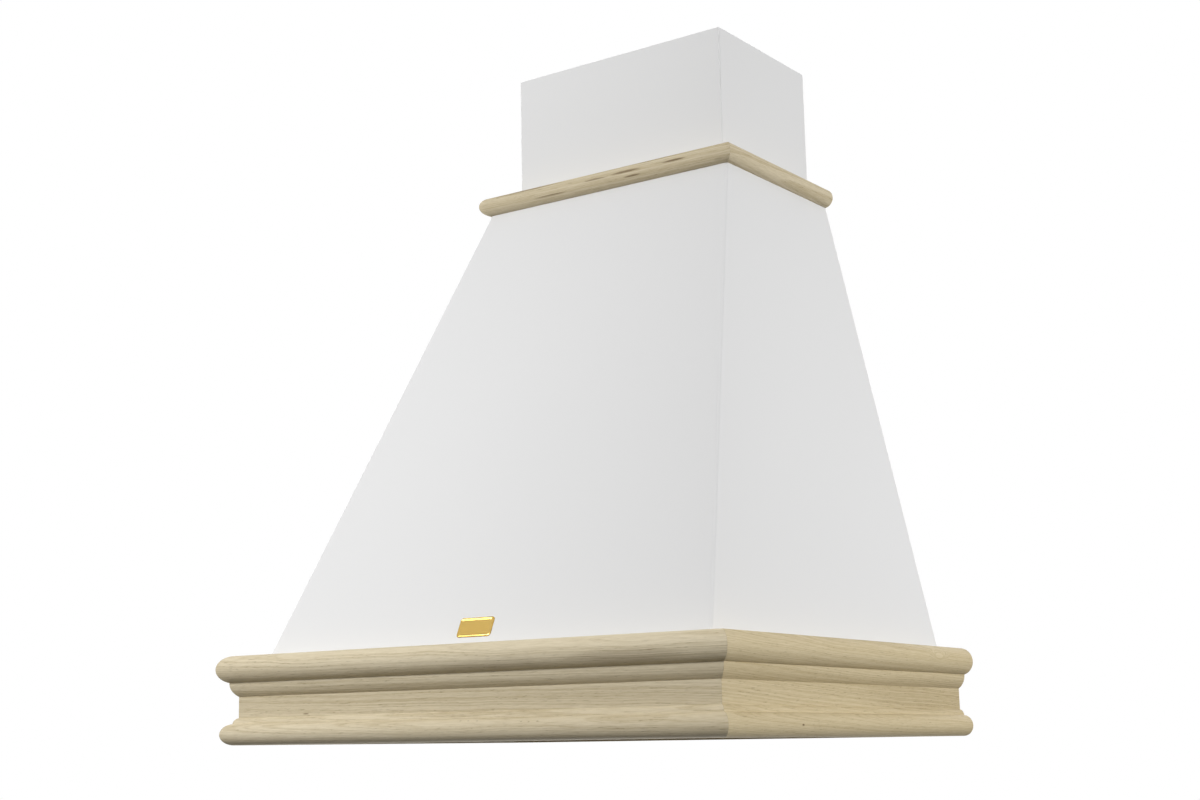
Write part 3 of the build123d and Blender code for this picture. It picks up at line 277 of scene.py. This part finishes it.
# %% [markdown]
# ## Raw oak
# The frame and the collar are pale oak that was moulded and left raw. Wood is a
# stack of yearly shells round the middle of the tree, so the oak is made in the
# same way: the distance from a middle line, a hand's breadth outside the board,
# drives the growth lines. A flat face cuts the shells into straight lines and a
# rounded one into arches, with no drawing at all. The shells are warped a little
# first. Fibres and short dark pores follow the length, and the sawn ends are
# darker, because there the pores are open.

# %% Oak
shell_pitch = 0.0017
warp_size = 0.014
ripple_size = 0.0016
fibre_width = 0.0008
pore_length = 0.005
pore_width = 0.0005
joint_line = 0.0005
pore_brown = tint(124, 104, 70)
# The next colour darkens the stains and flecks, and also the bands of painted shade on the front torus and
# along the collar's top edge.
mark_and_shade_brown = tint(98, 76, 44)
end_brown = tint(142, 118, 80)
glue_brown = tint(70, 52, 32)


def oval(length, height, mark):
    """Squared distance from a mark's middle: 1 on its rim."""
    place, middle, half_length, half_height = mark[:4]
    off_length = (length - place) * (1 / half_length)
    off_height = (height - middle) * (1 / half_height)
    return off_length * off_length + off_height * off_height


def oak(name, along, start, middle, pale, tan, slope=0.0, corner=None, marks=(), eye=None):
    """Raw oak whose length runs along x or y.

    start moves the board along its tree, middle is the tree's middle line as
    (across, height), slope tips the grain, and |x| + y + corner is 0 at the mitre.
    A mark is (place, height, half length, half height, strength) of a dark spot:
    a stain or fleck in the wood, and in a few places a band of painted shade;
    eye is the same for a swelling of the shells, with its rise as strength, that
    the cutter has opened: pale in its heart, with a darker rim.
    """
    finish = Finish(name)
    x, y, z = finish.place()
    length, across = (x, y) if along == "x" else (y, x)
    far = length + start
    warp = finish.noise(finish.point(far * 2.6, across * 7, z * 7), 2.0)
    ripple = finish.noise(finish.point(far * 17, across * 40, z * 40), 1.0)
    shell = ((across - middle[0]) ** 2 + (z - middle[1]) ** 2) ** 0.5
    shell = shell + (warp - 0.5) * warp_size + (ripple - 0.5) * ripple_size + length * slope
    if eye is not None:
        shell = shell + oval(length, z, eye).step(5.0, 0.0) * eye[4]
    tone = finish.noise(finish.point(far * 1.1, shell * 55, across * 12), 2.0)
    growth = finish.noise(finish.point(far * 1.8, shell * (2 / shell_pitch), across * 20), 1.0, 0.6)
    fibre_scale = 1 / fibre_width
    fibre = finish.noise(finish.point(far * 60, across * fibre_scale, z * fibre_scale), 2.0, 0.6)
    pore_scale = 1 / pore_width
    pores = finish.noise(
        finish.point(far * (0.6 / pore_length), across * pore_scale * 0.6, z * pore_scale * 0.6), 1.0
    )
    early_wood = growth.step(0.42, 0.62)
    pore_mask = pores.step(0.60, 0.72) * (0.3 + early_wood * 0.7)
    depth = tone.step(0.3, 0.7) * 0.28 + early_wood * 0.40 + fibre.step(0.35, 0.65) * 0.32
    colour = finish.blend(depth, pale, tan)
    colour = finish.blend(pore_mask * 0.38, colour, pore_brown)
    if eye is not None:
        heart = oval(length, z, eye).step(0.8, 0.5)
        rim = oval(length, z, eye).step(1.7, 1.0) - heart
        colour = finish.blend(rim * 0.35, colour, tan)
        colour = finish.blend(heart * 0.6, colour, pale)
    # Each mark darkens the wood: most are stains and flecks, and a few are bands of painted shade.
    for mark in marks:
        fleck_and_shade = oval(length, z, mark).step(1.0, 0.1) * (0.5 + early_wood * 0.5)
        colour = finish.blend(fleck_and_shade * mark[4], colour, mark_and_shade_brown)
    facing = finish.node("ShaderNodeTexCoord", out="Normal").parts()
    sawn_end = abs(facing[0 if along == "x" else 1]).step(0.80, 0.95)
    colour = finish.blend(sawn_end * 0.45, colour, end_brown)
    if corner is not None:
        joint = abs(abs(x) + y + corner).step(joint_line, 0.0001)
        colour = finish.blend(joint * 0.15, colour, glue_brown)
    relief = 1 - pore_mask * 0.6 - fibre * 0.25 - early_wood * 0.15
    return finish.done(
        finish.skin(
            Base_Color=colour,
            Roughness=0.64 + fibre * 0.12,
            Normal=finish.bump(relief, 0.00018),
            Specular_IOR_Level=0.25,
        )
    )


print("growth lines", shell_pitch * 1000, "mm apart, pores", pore_length * 1000, "mm long")

# %% [markdown]
# No two boards are alike, and a joiner sees at once where one ends. Each board
# gets its own tree: where its middle lies, how the grain slopes and how warm the
# wood is. The small marks are those that make a real board recognisable: a broad
# faint stain on the right board, dark flecks on the front board, a pin knot and a
# swelling on the right one, and the brown streaks of the collar. Two broad bands
# along the lower half of the front torus are partly a real streak and partly
# painted shade, and two long streaks along the collar's top edge are painted
# shade where it meets the chimney.

# %% The boards
frame_corner = 0.1865
collar_corner = 0.058
front_marks_and_torus_shade = [
    # The first two are broad bands along the lower half of the torus: partly a real streak and partly
    # painted shade where the torus turns down.
    (0.1970, 0.0700, 0.0750, 0.0070, 0.30),
    (0.0600, 0.0680, 0.0900, 0.0050, 0.18),
    (-0.1900, 0.0292, 0.0048, 0.0009, 0.9),
    (0.0126, 0.0186, 0.0016, 0.0006, 0.6),
    (0.0219, 0.0184, 0.0014, 0.0006, 0.6),
    (0.0323, 0.0182, 0.0016, 0.0006, 0.6),
    (0.0830, 0.0168, 0.0014, 0.0006, 0.6),
    (0.0915, 0.0165, 0.0014, 0.0006, 0.6),
    (0.1010, 0.0168, 0.0016, 0.0006, 0.6),
]
right_marks = [(-0.3573, 0.0102, 0.0026, 0.0012, 0.9), (-0.0300, 0.0380, 0.2300, 0.0260, 0.16)]
swelling = (-0.0790, 0.0785, 0.0105, 0.0032, 0.0040)
collar_streaks_and_edge_shade = [
    (-0.0660, 0.5908, 0.0260, 0.0011, 0.8),
    (-0.0050, 0.5966, 0.0180, 0.0013, 0.7),
    (0.0350, 0.5974, 0.0220, 0.0018, 0.7),
    (0.0430, 0.5916, 0.0130, 0.0012, 0.8),
    (0.0960, 0.5975, 0.0180, 0.0015, 0.8),
    (0.1480, 0.5885, 0.0060, 0.0016, 0.3),
    # The last two run along the collar's top edge: painted shade where the collar meets the chimney.
    (-0.1000, 0.6040, 0.0550, 0.0022, 0.5),
    (0.0500, 0.6045, 0.0800, 0.0015, 0.3),
]
grey_oak = tint(217, 205, 178), tint(185, 170, 137)
warm_oak = tint(207, 192, 158), tint(183, 166, 128)
collar_oak = tint(212, 200, 173), tint(180, 165, 132)
softwood = tint(212, 195, 160), tint(190, 165, 124)
boards = {
    "front_moulding": ("x", 3.1, (-0.30, -0.14), *grey_oak, 0.012, frame_corner, front_marks_and_torus_shade),
    "right_moulding": ("y", 7.7, (0.18, -0.16), *warm_oak, 0.030, frame_corner, right_marks, swelling),
    "left_moulding": ("y", 11.3, (-0.20, -0.10), *grey_oak, -0.020, frame_corner),
    "collar_front": ("x", 15.9, (-0.16, 0.50), *collar_oak, 0.015, collar_corner, collar_streaks_and_edge_shade),
    "collar_right": ("y", 19.4, (0.08, 0.66), *collar_oak, 0.020, collar_corner),
    "collar_left": ("y", 23.8, (-0.30, 0.55), *collar_oak, 0.020, collar_corner),
    "rear_rail": ("x", 31.0, (0.06, -0.12), *softwood, 0.010),
    "mitre_dowels": ("y", 35.0, (0.00, 0.20), *softwood, 0.010),
}
for node_name, board in boards.items():
    dress(oak(f"wood_of_{node_name}", *board), node_name)
print(len(boards), "wooden nodes")

# %% [markdown]
# ## Painted sheet
# The casing and the chimney are sheet steel, powder coated in a soft white. Powder
# melts into a skin that is smooth but not flat: a very shallow orange peel, which
# only shows as a slight unrest in reflections. The tray below has a greyer coat.


# %% Painted sheet
def powder_coat(name, colour, peel, roughness):
    """A baked powder coat with its shallow orange peel."""
    finish = Finish(name)
    spot = finish.spot()
    skin = finish.noise(spot, 2.0, 0.45, 420.0)
    cloud = finish.noise(spot, 2.0, 0.5, 3.0)
    shade = finish.blend(cloud.step(0.3, 0.7) * 0.5, colour, darker(colour, 0.985))
    return finish.done(
        finish.skin(
            Base_Color=shade,
            Roughness=roughness + cloud * 0.06,
            Normal=finish.bump(skin, peel),
            Specular_IOR_Level=0.3,
        )
    )


dress(
    powder_coat("white_powder_coat", tint(222, 222, 222), 0.00003, 0.6),
    "casing",
    "chimney_lower",
    "chimney_upper",
)
dress(powder_coat("grey_powder_coat", tint(216, 216, 215), 0.00004, 0.46), "underside_panel")
print(len(bpy.data.materials), "finishes after the painted sheet")

# %% [markdown]
# ## Galvanised sheet
# Sheet that was dipped in zinc is covered in flat crystals. Each catches the light
# at its own angle, so it is one grey from each cell of a Voronoi texture, with a
# hair's breadth of height between neighbours and faint level scuffs from handling.

# %% Galvanised sheet
crystals_per_metre = 210


def zinc(name):
    """Galvanised sheet with its crystals."""
    finish = Finish(name)
    x, y, z = finish.place()
    crystal = finish.cells(finish.point(x, y, z), crystals_per_metre, out="Color").parts()[0]
    scratch = finish.noise(finish.point(x * 30, y * 30, z * 900))
    colour = finish.blend(crystal, tint(176, 180, 182), tint(198, 201, 202))
    return finish.done(
        finish.skin(
            Base_Color=colour,
            Metallic=0.9,
            Roughness=0.38 + crystal * 0.12 + scratch * 0.06,
            Normal=finish.bump(crystal, 0.00001),
        )
    )


dress(
    zinc("zinc_dip"),
    "back_panel",
    "corner_brackets",
    "blower_brackets",
    "chimney_bracket",
    "capacitor_clamp",
)
print("zinc crystals about", round(1000 / crystals_per_metre, 1), "mm across")

# %% [markdown]
# ## Rolled, drawn and turned metal
# Rolled aluminium has fine lines along the rolling direction, and turned steel has
# rings. They are too fine to draw one by one, so they become a noise that runs
# quickly across the lines and slowly along them, in the roughness and the relief.
# A casting or an enamel has no direction: its noise is as quick along all three.


# %% Lined metals
def lined(name, colour, roughness, quickness, depth=0.00001, metallic=1.0):
    """Metal with fine lines; quickness is how fast the noise runs along x, y and z."""
    finish = Finish(name)
    x, y, z = finish.place()
    lines = finish.noise(
        finish.point(x * quickness[0], y * quickness[1], z * quickness[2]), 3.0, 0.6
    )
    wear = finish.noise(finish.point(x, y, z), scale=40.0)
    shade = finish.blend(lines * 0.6, colour, darker(colour, 0.82))
    return finish.done(
        finish.skin(
            Base_Color=shade,
            Metallic=metallic,
            Roughness=roughness + lines * 0.12 + wear * 0.05,
            Normal=finish.bump(lines, depth),
        )
    )


aluminium = lined("filter_frame_aluminium", tint(172, 174, 176), 0.36, (1400, 30, 1400))
casting = lined("lamp_casting", tint(168, 170, 172), 0.45, (500, 500, 500), 0.00006)
enamel = lined("motor_enamel", tint(62, 66, 72), 0.42, (700, 700, 700), 0.00003, 0.35)
plated_steel = lined("zinc_plated_steel", tint(196, 194, 186), 0.28, (1200, 1200, 200))
dress(aluminium, "filter_left_frame", "filter_right_frame")
dress(casting, "lamp_bodies")
dress(enamel, "motor", "motor_bracket")
dress(plated_steel, "frame_screws", "casing_screws", "collar_screws", "motor_bolts")
dress(plated_steel, "chimney_screws", "blower_screws")
dress(lined("satin_chrome", tint(176, 178, 180), 0.22, (60, 60, 1800)), "lamp_bezels")
dress(lined("ground_steel", tint(192, 194, 196), 0.20, (2400, 40, 40)), "motor_shaft", "flap_pin")
dress(lined("gland_brass", tint(204, 164, 90), 0.26, (40, 40, 1600)), "cable_gland")
print(len(bpy.data.materials), "finishes after the lined metals")

# %% [markdown]
# ## Filter packs
# Grease collects on several layers of expanded aluminium. The sheet is slit and
# pulled, so it opens into rows of diamonds with thin strands between them. Two
# zigzags that cross make the strands: a point lies on one when either zigzag is
# near its low end. A second layer, out of step with the first, shows through.
# Below the upper strands the colour is painted shade: the second layer darker
# than the first and the gaps darker still.

# %% Expanded aluminium
diamond_length = 0.0080
diamond_height = 0.0044
strand_share = 0.34


def expanded_metal(name):
    """Layers of aluminium mesh in one surface, with painted shade below the upper strands."""
    finish = Finish(name)
    x, y, z = finish.place()

    def strands(shift):
        """1 on the strands of one layer of diamonds and 0 in its gaps."""
        along = (x + shift) * (1 / diamond_length)
        down = (y + z + shift) * (1 / diamond_height)
        nearest = (along + down).zigzag(1.0).least((along - down).zigzag(1.0))
        return nearest.step(strand_share, strand_share * 0.55)

    upper = strands(0.0)
    lower = strands(0.0027)
    shimmer = finish.noise(finish.point(x, y, z), scale=700.0)
    # Painted shade: the second layer is drawn darker than the first, and the gaps darker still, for the
    # dark inside behind the mesh.
    painted_shade_below_strands = finish.blend(lower * 0.7, tint(58, 60, 62), tint(150, 153, 155))
    colour = finish.blend(upper * (0.75 + shimmer * 0.25), painted_shade_below_strands, tint(206, 209, 211))
    return finish.done(
        finish.skin(
            Base_Color=colour,
            Metallic=0.35 + upper * 0.6,
            Roughness=0.42 - upper * 0.1 + shimmer * 0.1,
            Normal=finish.bump(upper * 0.6 + lower * 0.4, 0.0004),
        )
    )


dress(expanded_metal("expanded_aluminium"), "filter_left_mesh", "filter_right_mesh")
print("diamonds", diamond_length * 1000, "by", diamond_height * 1000, "mm")

# %% [markdown]
# ## Moulded plastics and rubber
# Injection moulding copies the steel of the tool. Technical parts come from a
# spark-eroded tool, so they carry a fine even grain. The switch plate comes from a
# smoother one and has a thin clear coat, which gives it a satin gloss.


# %% Plastics and rubber
def moulded(name, colour, roughness, grain=0.00004, grain_scale=1600.0, coat=0.0):
    """Injection-moulded plastic with the grain of its tool."""
    finish = Finish(name)
    spot = finish.spot()
    texture = finish.noise(spot, 2.0, 0.6, grain_scale)
    cloud = finish.noise(spot, scale=18.0)
    shade = finish.blend(cloud.step(0.3, 0.8) * 0.4, colour, darker(colour, 0.86))
    return finish.done(
        finish.skin(
            Base_Color=shade,
            Roughness=roughness + texture * 0.08 + cloud * 0.04,
            Normal=finish.bump(texture, grain),
            Coat_Weight=coat,
            Coat_Roughness=0.08,
        )
    )


scroll_plastic = moulded("black_blower_plastic", tint(52, 53, 56), 0.46)
flap_plastic = moulded("flap_plastic_sheet", tint(124, 124, 126), 0.40)
box_plastic = moulded("terminal_box_plastic", tint(226, 226, 222), 0.40)
latch_plastic = moulded("latch_plastic_black", tint(34, 34, 35), 0.40)
gloss = moulded("switch_plate_gloss", tint(30, 30, 31), 0.30, 0.000004, 900.0, 0.25)
button_plastic = moulded("button_plastic_grey", tint(202, 202, 198), 0.36)
dress(scroll_plastic, "scroll_left", "scroll_right", "inlet_rings")
dress(flap_plastic, "flap_front", "flap_rear")
dress(box_plastic, "terminal_box", "terminal_box_lid")
dress(latch_plastic, "filter_left_latch", "filter_right_latch")
dress(gloss, "switch_plate")
dress(button_plastic, *[name for name in nodes.keys() if name.startswith("button_")])
dress(moulded("grey_wheel_plastic", tint(104, 107, 112), 0.44), "impeller")
dress(moulded("black_duct_plastic", tint(58, 58, 60), 0.48), "outlet_adapter")
dress(moulded("capacitor_shell", tint(228, 228, 224), 0.34), "capacitor")
dress(moulded("control_box_plastic", tint(70, 70, 73), 0.45), "control_box")
dress(moulded("mount_rubber_black", tint(22, 22, 22), 0.72, 0.0001, 500.0), "motor_mounts")
print(len(bpy.data.materials), "finishes after the plastics")

# %% [markdown]
# ## Lamp glass
# The lamp's glass is frosted on its inner side, so that the light spreads. Thick
# frosted glass sends most light back and lets some through, so it is partly
# transmissive with a high roughness, and dimples are pressed into its face.

# %% Lamp glass
dimples_per_metre = 420


def frosted_glass(name):
    """Glass that scatters what it lets through."""
    finish = Finish(name)
    spot = finish.spot()
    dimples = finish.cells(spot, dimples_per_metre, "SMOOTH_F1")
    return finish.done(
        finish.skin(
            Base_Color=finish.blend(dimples, tint(244, 245, 242), tint(226, 229, 226)),
            Roughness=0.38 + dimples * 0.1,
            Normal=finish.bump(dimples, 0.0002),
            Transmission_Weight=0.3,
            IOR=1.5,
        )
    )


dress(frosted_glass("frosted_lamp_glass"), "lamp_lenses")
print("dimples about", round(1000 / dimples_per_metre, 1), "mm apart")

# %% [markdown]
# ## Brass plate
# A small stamped plate sits low on the middle of the front: a rounded blank with
# a sloped edge, a narrow raised rim and a plain field sunk inside it. The blank is
# one mesh, made of rings of the same rounded outline, each a little smaller or
# higher than the last.

# %% A ringed blank
corner_steps = 6


def rounded_outline(width, height, corner):
    """Points round a rectangle with round corners, anticlockwise."""
    points = []
    for turn, (side_x, side_y) in enumerate([(1, 1), (-1, 1), (-1, -1), (1, -1)]):
        middle_x = side_x * (width / 2 - corner)
        middle_y = side_y * (height / 2 - corner)
        for step in range(corner_steps + 1):
            angle = math.radians(90) * (turn + step / corner_steps)
            points.append((middle_x + corner * math.cos(angle), middle_y + corner * math.sin(angle)))
    return points


def ringed_plate(name, width, height, corner, rings):
    """A closed blank: each ring is an inset and a height, and the last one is filled."""
    mesh = bpy.data.meshes.new(name)
    points = []
    for inset, level in rings:
        outline = rounded_outline(width - 2 * inset, height - 2 * inset, max(corner - inset, 0.0004))
        points += [(x, y, level) for x, y in outline]
    count = len(points) // len(rings)
    faces = [tuple(reversed(range(count))), tuple(range(len(points) - count, len(points)))]
    for ring in range(len(rings) - 1):
        for k in range(count):
            low, high = ring * count, (ring + 1) * count
            after = (k + 1) % count
            faces.append((low + k, low + after, high + after, high + k))
    mesh.from_pydata(points, [], faces)
    return bpy.data.objects.new(name, mesh)


print("points in each ring:", len(rounded_outline(2, 1, 0.2)))

# %% [markdown]
# The casing's own front panel says where the plate sits and how far it leans, so
# it lies flat on the sheet. The first ring is sunk a fifth of a millimetre, so that
# no gap shows under the edge.

# %% Brass plate
plate_width = 0.0406
plate_height = 0.0206
plate_corner = 0.0032
plate_above_frame = 0.0182
plate_rings = [
    (0.0, -0.0002),
    (0.0, 0.0003),
    (0.0003, 0.0007),
    (0.0008, 0.0009),
    (0.0015, 0.0010),
    (0.0019, 0.0009),
    (0.0022, 0.0006),
    (0.0028, 0.0005),
]


def outer_panel(node, side):
    """The largest flat face of a node that looks to one side: its middle and its normal."""
    panels = [p for p in nodes[node].data.polygons if p.normal.dot(Vector(side)) > 0.7]
    widest = max(panels, key=lambda p: p.area)
    return widest.center.copy(), widest.normal.copy()


panel_middle, panel_normal = outer_panel("casing", (0, -1, 0))
up_the_slope = Vector((1, 0, 0)).cross(panel_normal) * -1
frame_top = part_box("front_moulding")[1][2]
foot_point = panel_middle + up_the_slope * ((frame_top - panel_middle.z) / up_the_slope.z)
plate_middle = Vector((0, foot_point.y, foot_point.z)) + up_the_slope * plate_above_frame
plate = ringed_plate("brass_plate", plate_width, plate_height, plate_corner, plate_rings)
lean = Matrix((Vector((1, 0, 0)), up_the_slope, panel_normal)).transposed().to_4x4()
plate.data.transform(Matrix.Translation(plate_middle) @ lean)
plate.data.materials.append(lined("stamped_brass", tint(200, 168, 94), 0.08, (60, 1500, 1500)))
bpy.context.scene.collection.objects.link(plate)
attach(plate, "hood")
print("plate leans", round(math.degrees(math.asin(panel_normal.z)), 1), "degrees at", plate_middle)

# %% [markdown]
# ## Room
# The hood hangs at head height, so the floor is far below it. The floor and the
# surroundings are white to the camera and to anything that mirrors them, but they
# light the hood only mildly: a Light Path node tells one kind of ray from the
# other. Near the middle the floor still shows a share of its real shade, so the
# hood's soft shadow can be seen there, and it fades to white at its rim. From
# below the floor can be seen through, because a hood is mostly looked at from
# underneath.

# %% Floor
floor_drop = 1.55
floor_radius = 2.4
floor_sides = 96


def floor_finish():
    """Pale and shadowed near the middle, white at the rim, open from below."""
    finish = Finish("pale_floor")
    x, y, z = finish.place()
    grain = finish.noise(finish.point(x, y, z), 3.0, scale=30.0)
    from_middle = (x * x + y * y) ** 0.5
    whiteness = from_middle.step(0.4 * floor_radius, 0.9 * floor_radius) * 0.4 + 0.6
    direct = finish.seen_directly()
    pale = finish.blend(grain, tint(206, 206, 205), tint(210, 210, 209))
    matt = finish.skin(Base_Color=finish.blend(direct, tint(104, 104, 103), pale), Roughness=0.8)
    glow = finish.node("ShaderNodeEmission", sockets={"Color": (1.0, 1.0, 1.0, 1.0), "Strength": 1.0})
    above = finish.node("ShaderNodeMixShader", sockets={0: direct * whiteness, 1: matt, 2: glow})
    clear = finish.node("ShaderNodeBsdfTransparent")
    from_below = finish.node("ShaderNodeNewGeometry", out="Backfacing")
    return finish.done(finish.node("ShaderNodeMixShader", sockets={0: from_below, 1: above, 2: clear}))


floor_mesh = bpy.data.meshes.new("floor")
turns = [math.tau * k / floor_sides for k in range(floor_sides)]
rim = [(floor_radius * math.cos(turn), floor_radius * math.sin(turn), -floor_drop) for turn in turns]
floor_mesh.from_pydata(rim, [], [tuple(range(floor_sides))])
floor = bpy.data.objects.new("floor", floor_mesh)
floor.data.materials.append(floor_finish())
bpy.context.scene.collection.objects.link(floor)
print("floor", floor_drop, "m below the hood's foot")

# %% [markdown]
# The world does the rest of the room. It is white wherever it is seen, and as a
# light it is bright above and almost dark below. A strong light from below would
# fill the undersides of the mouldings, and their round shapes would go flat.

# %% Surroundings
light_from_above = 0.36
light_from_below = 0.03

surroundings = bpy.data.worlds.new("surroundings")
surroundings.use_nodes = True
surroundings.node_tree.nodes.clear()
bpy.context.scene.world = surroundings
sky = Graph(surroundings.node_tree)
upward = sky.node("ShaderNodeTexCoord", out="Generated").parts()[2].step(-0.15, 0.45)
soft_light = upward * (light_from_above - light_from_below) + light_from_below
direct = sky.seen_directly()
strength = direct + (1 - direct) * soft_light
white_sky = sky.node("ShaderNodeBackground", sockets={"Color": (1.0, 1.0, 1.0, 1.0), "Strength": strength})
sky.node("ShaderNodeOutputWorld", sockets={"Surface": white_sky})
print("the room gives", light_from_above, "from above and", light_from_below, "from below")

# %% [markdown]
# ## Lights
# Two large soft panels do most of the work, one in front and one to the right,
# both well above the foot. They leave the undersides of the mouldings dark, and
# that is what makes the round forms read as round. The right one stands as far
# back as the wall, so that the folded edges aren't lit by both at once and don't
# shine. Two more keep the left side and the back from going dull, and a weak one
# below and behind shows the tray and the filters to whoever looks from underneath.
# From there it can't reach the front and right faces of the mouldings.


# %% Soft panels
def soft_panel(name, place, width, height, power, aim=(0, -0.2, 0.3)):
    """A rectangular soft light that faces a point of the hood."""
    light = bpy.data.lights.new(name, "AREA")
    light.shape = "RECTANGLE"
    light.size = width
    light.size_y = height
    light.energy = power
    lamp = bpy.data.objects.new(name, light)
    lamp.location = place
    lamp.rotation_euler = (Vector(aim) - Vector(place)).to_track_quat("-Z", "Y").to_euler()
    bpy.context.scene.collection.objects.link(lamp)


soft_panel("panel_front", (-0.75, -2.0, 1.05), 1.2, 0.7, 34)
soft_panel("panel_right", (2.6, 0.1, 0.65), 1.4, 0.9, 47)
soft_panel("panel_left", (-2.6, 0.9, 0.80), 1.4, 0.9, 22)
soft_panel("panel_behind", (-0.3, 3.0, 1.0), 2.0, 1.4, 40)
soft_panel("panel_below", (-0.9, 0.9, -1.1), 0.9, 0.9, 14, aim=(0, -0.2, 0))
print(len(bpy.data.lights), "soft panels")
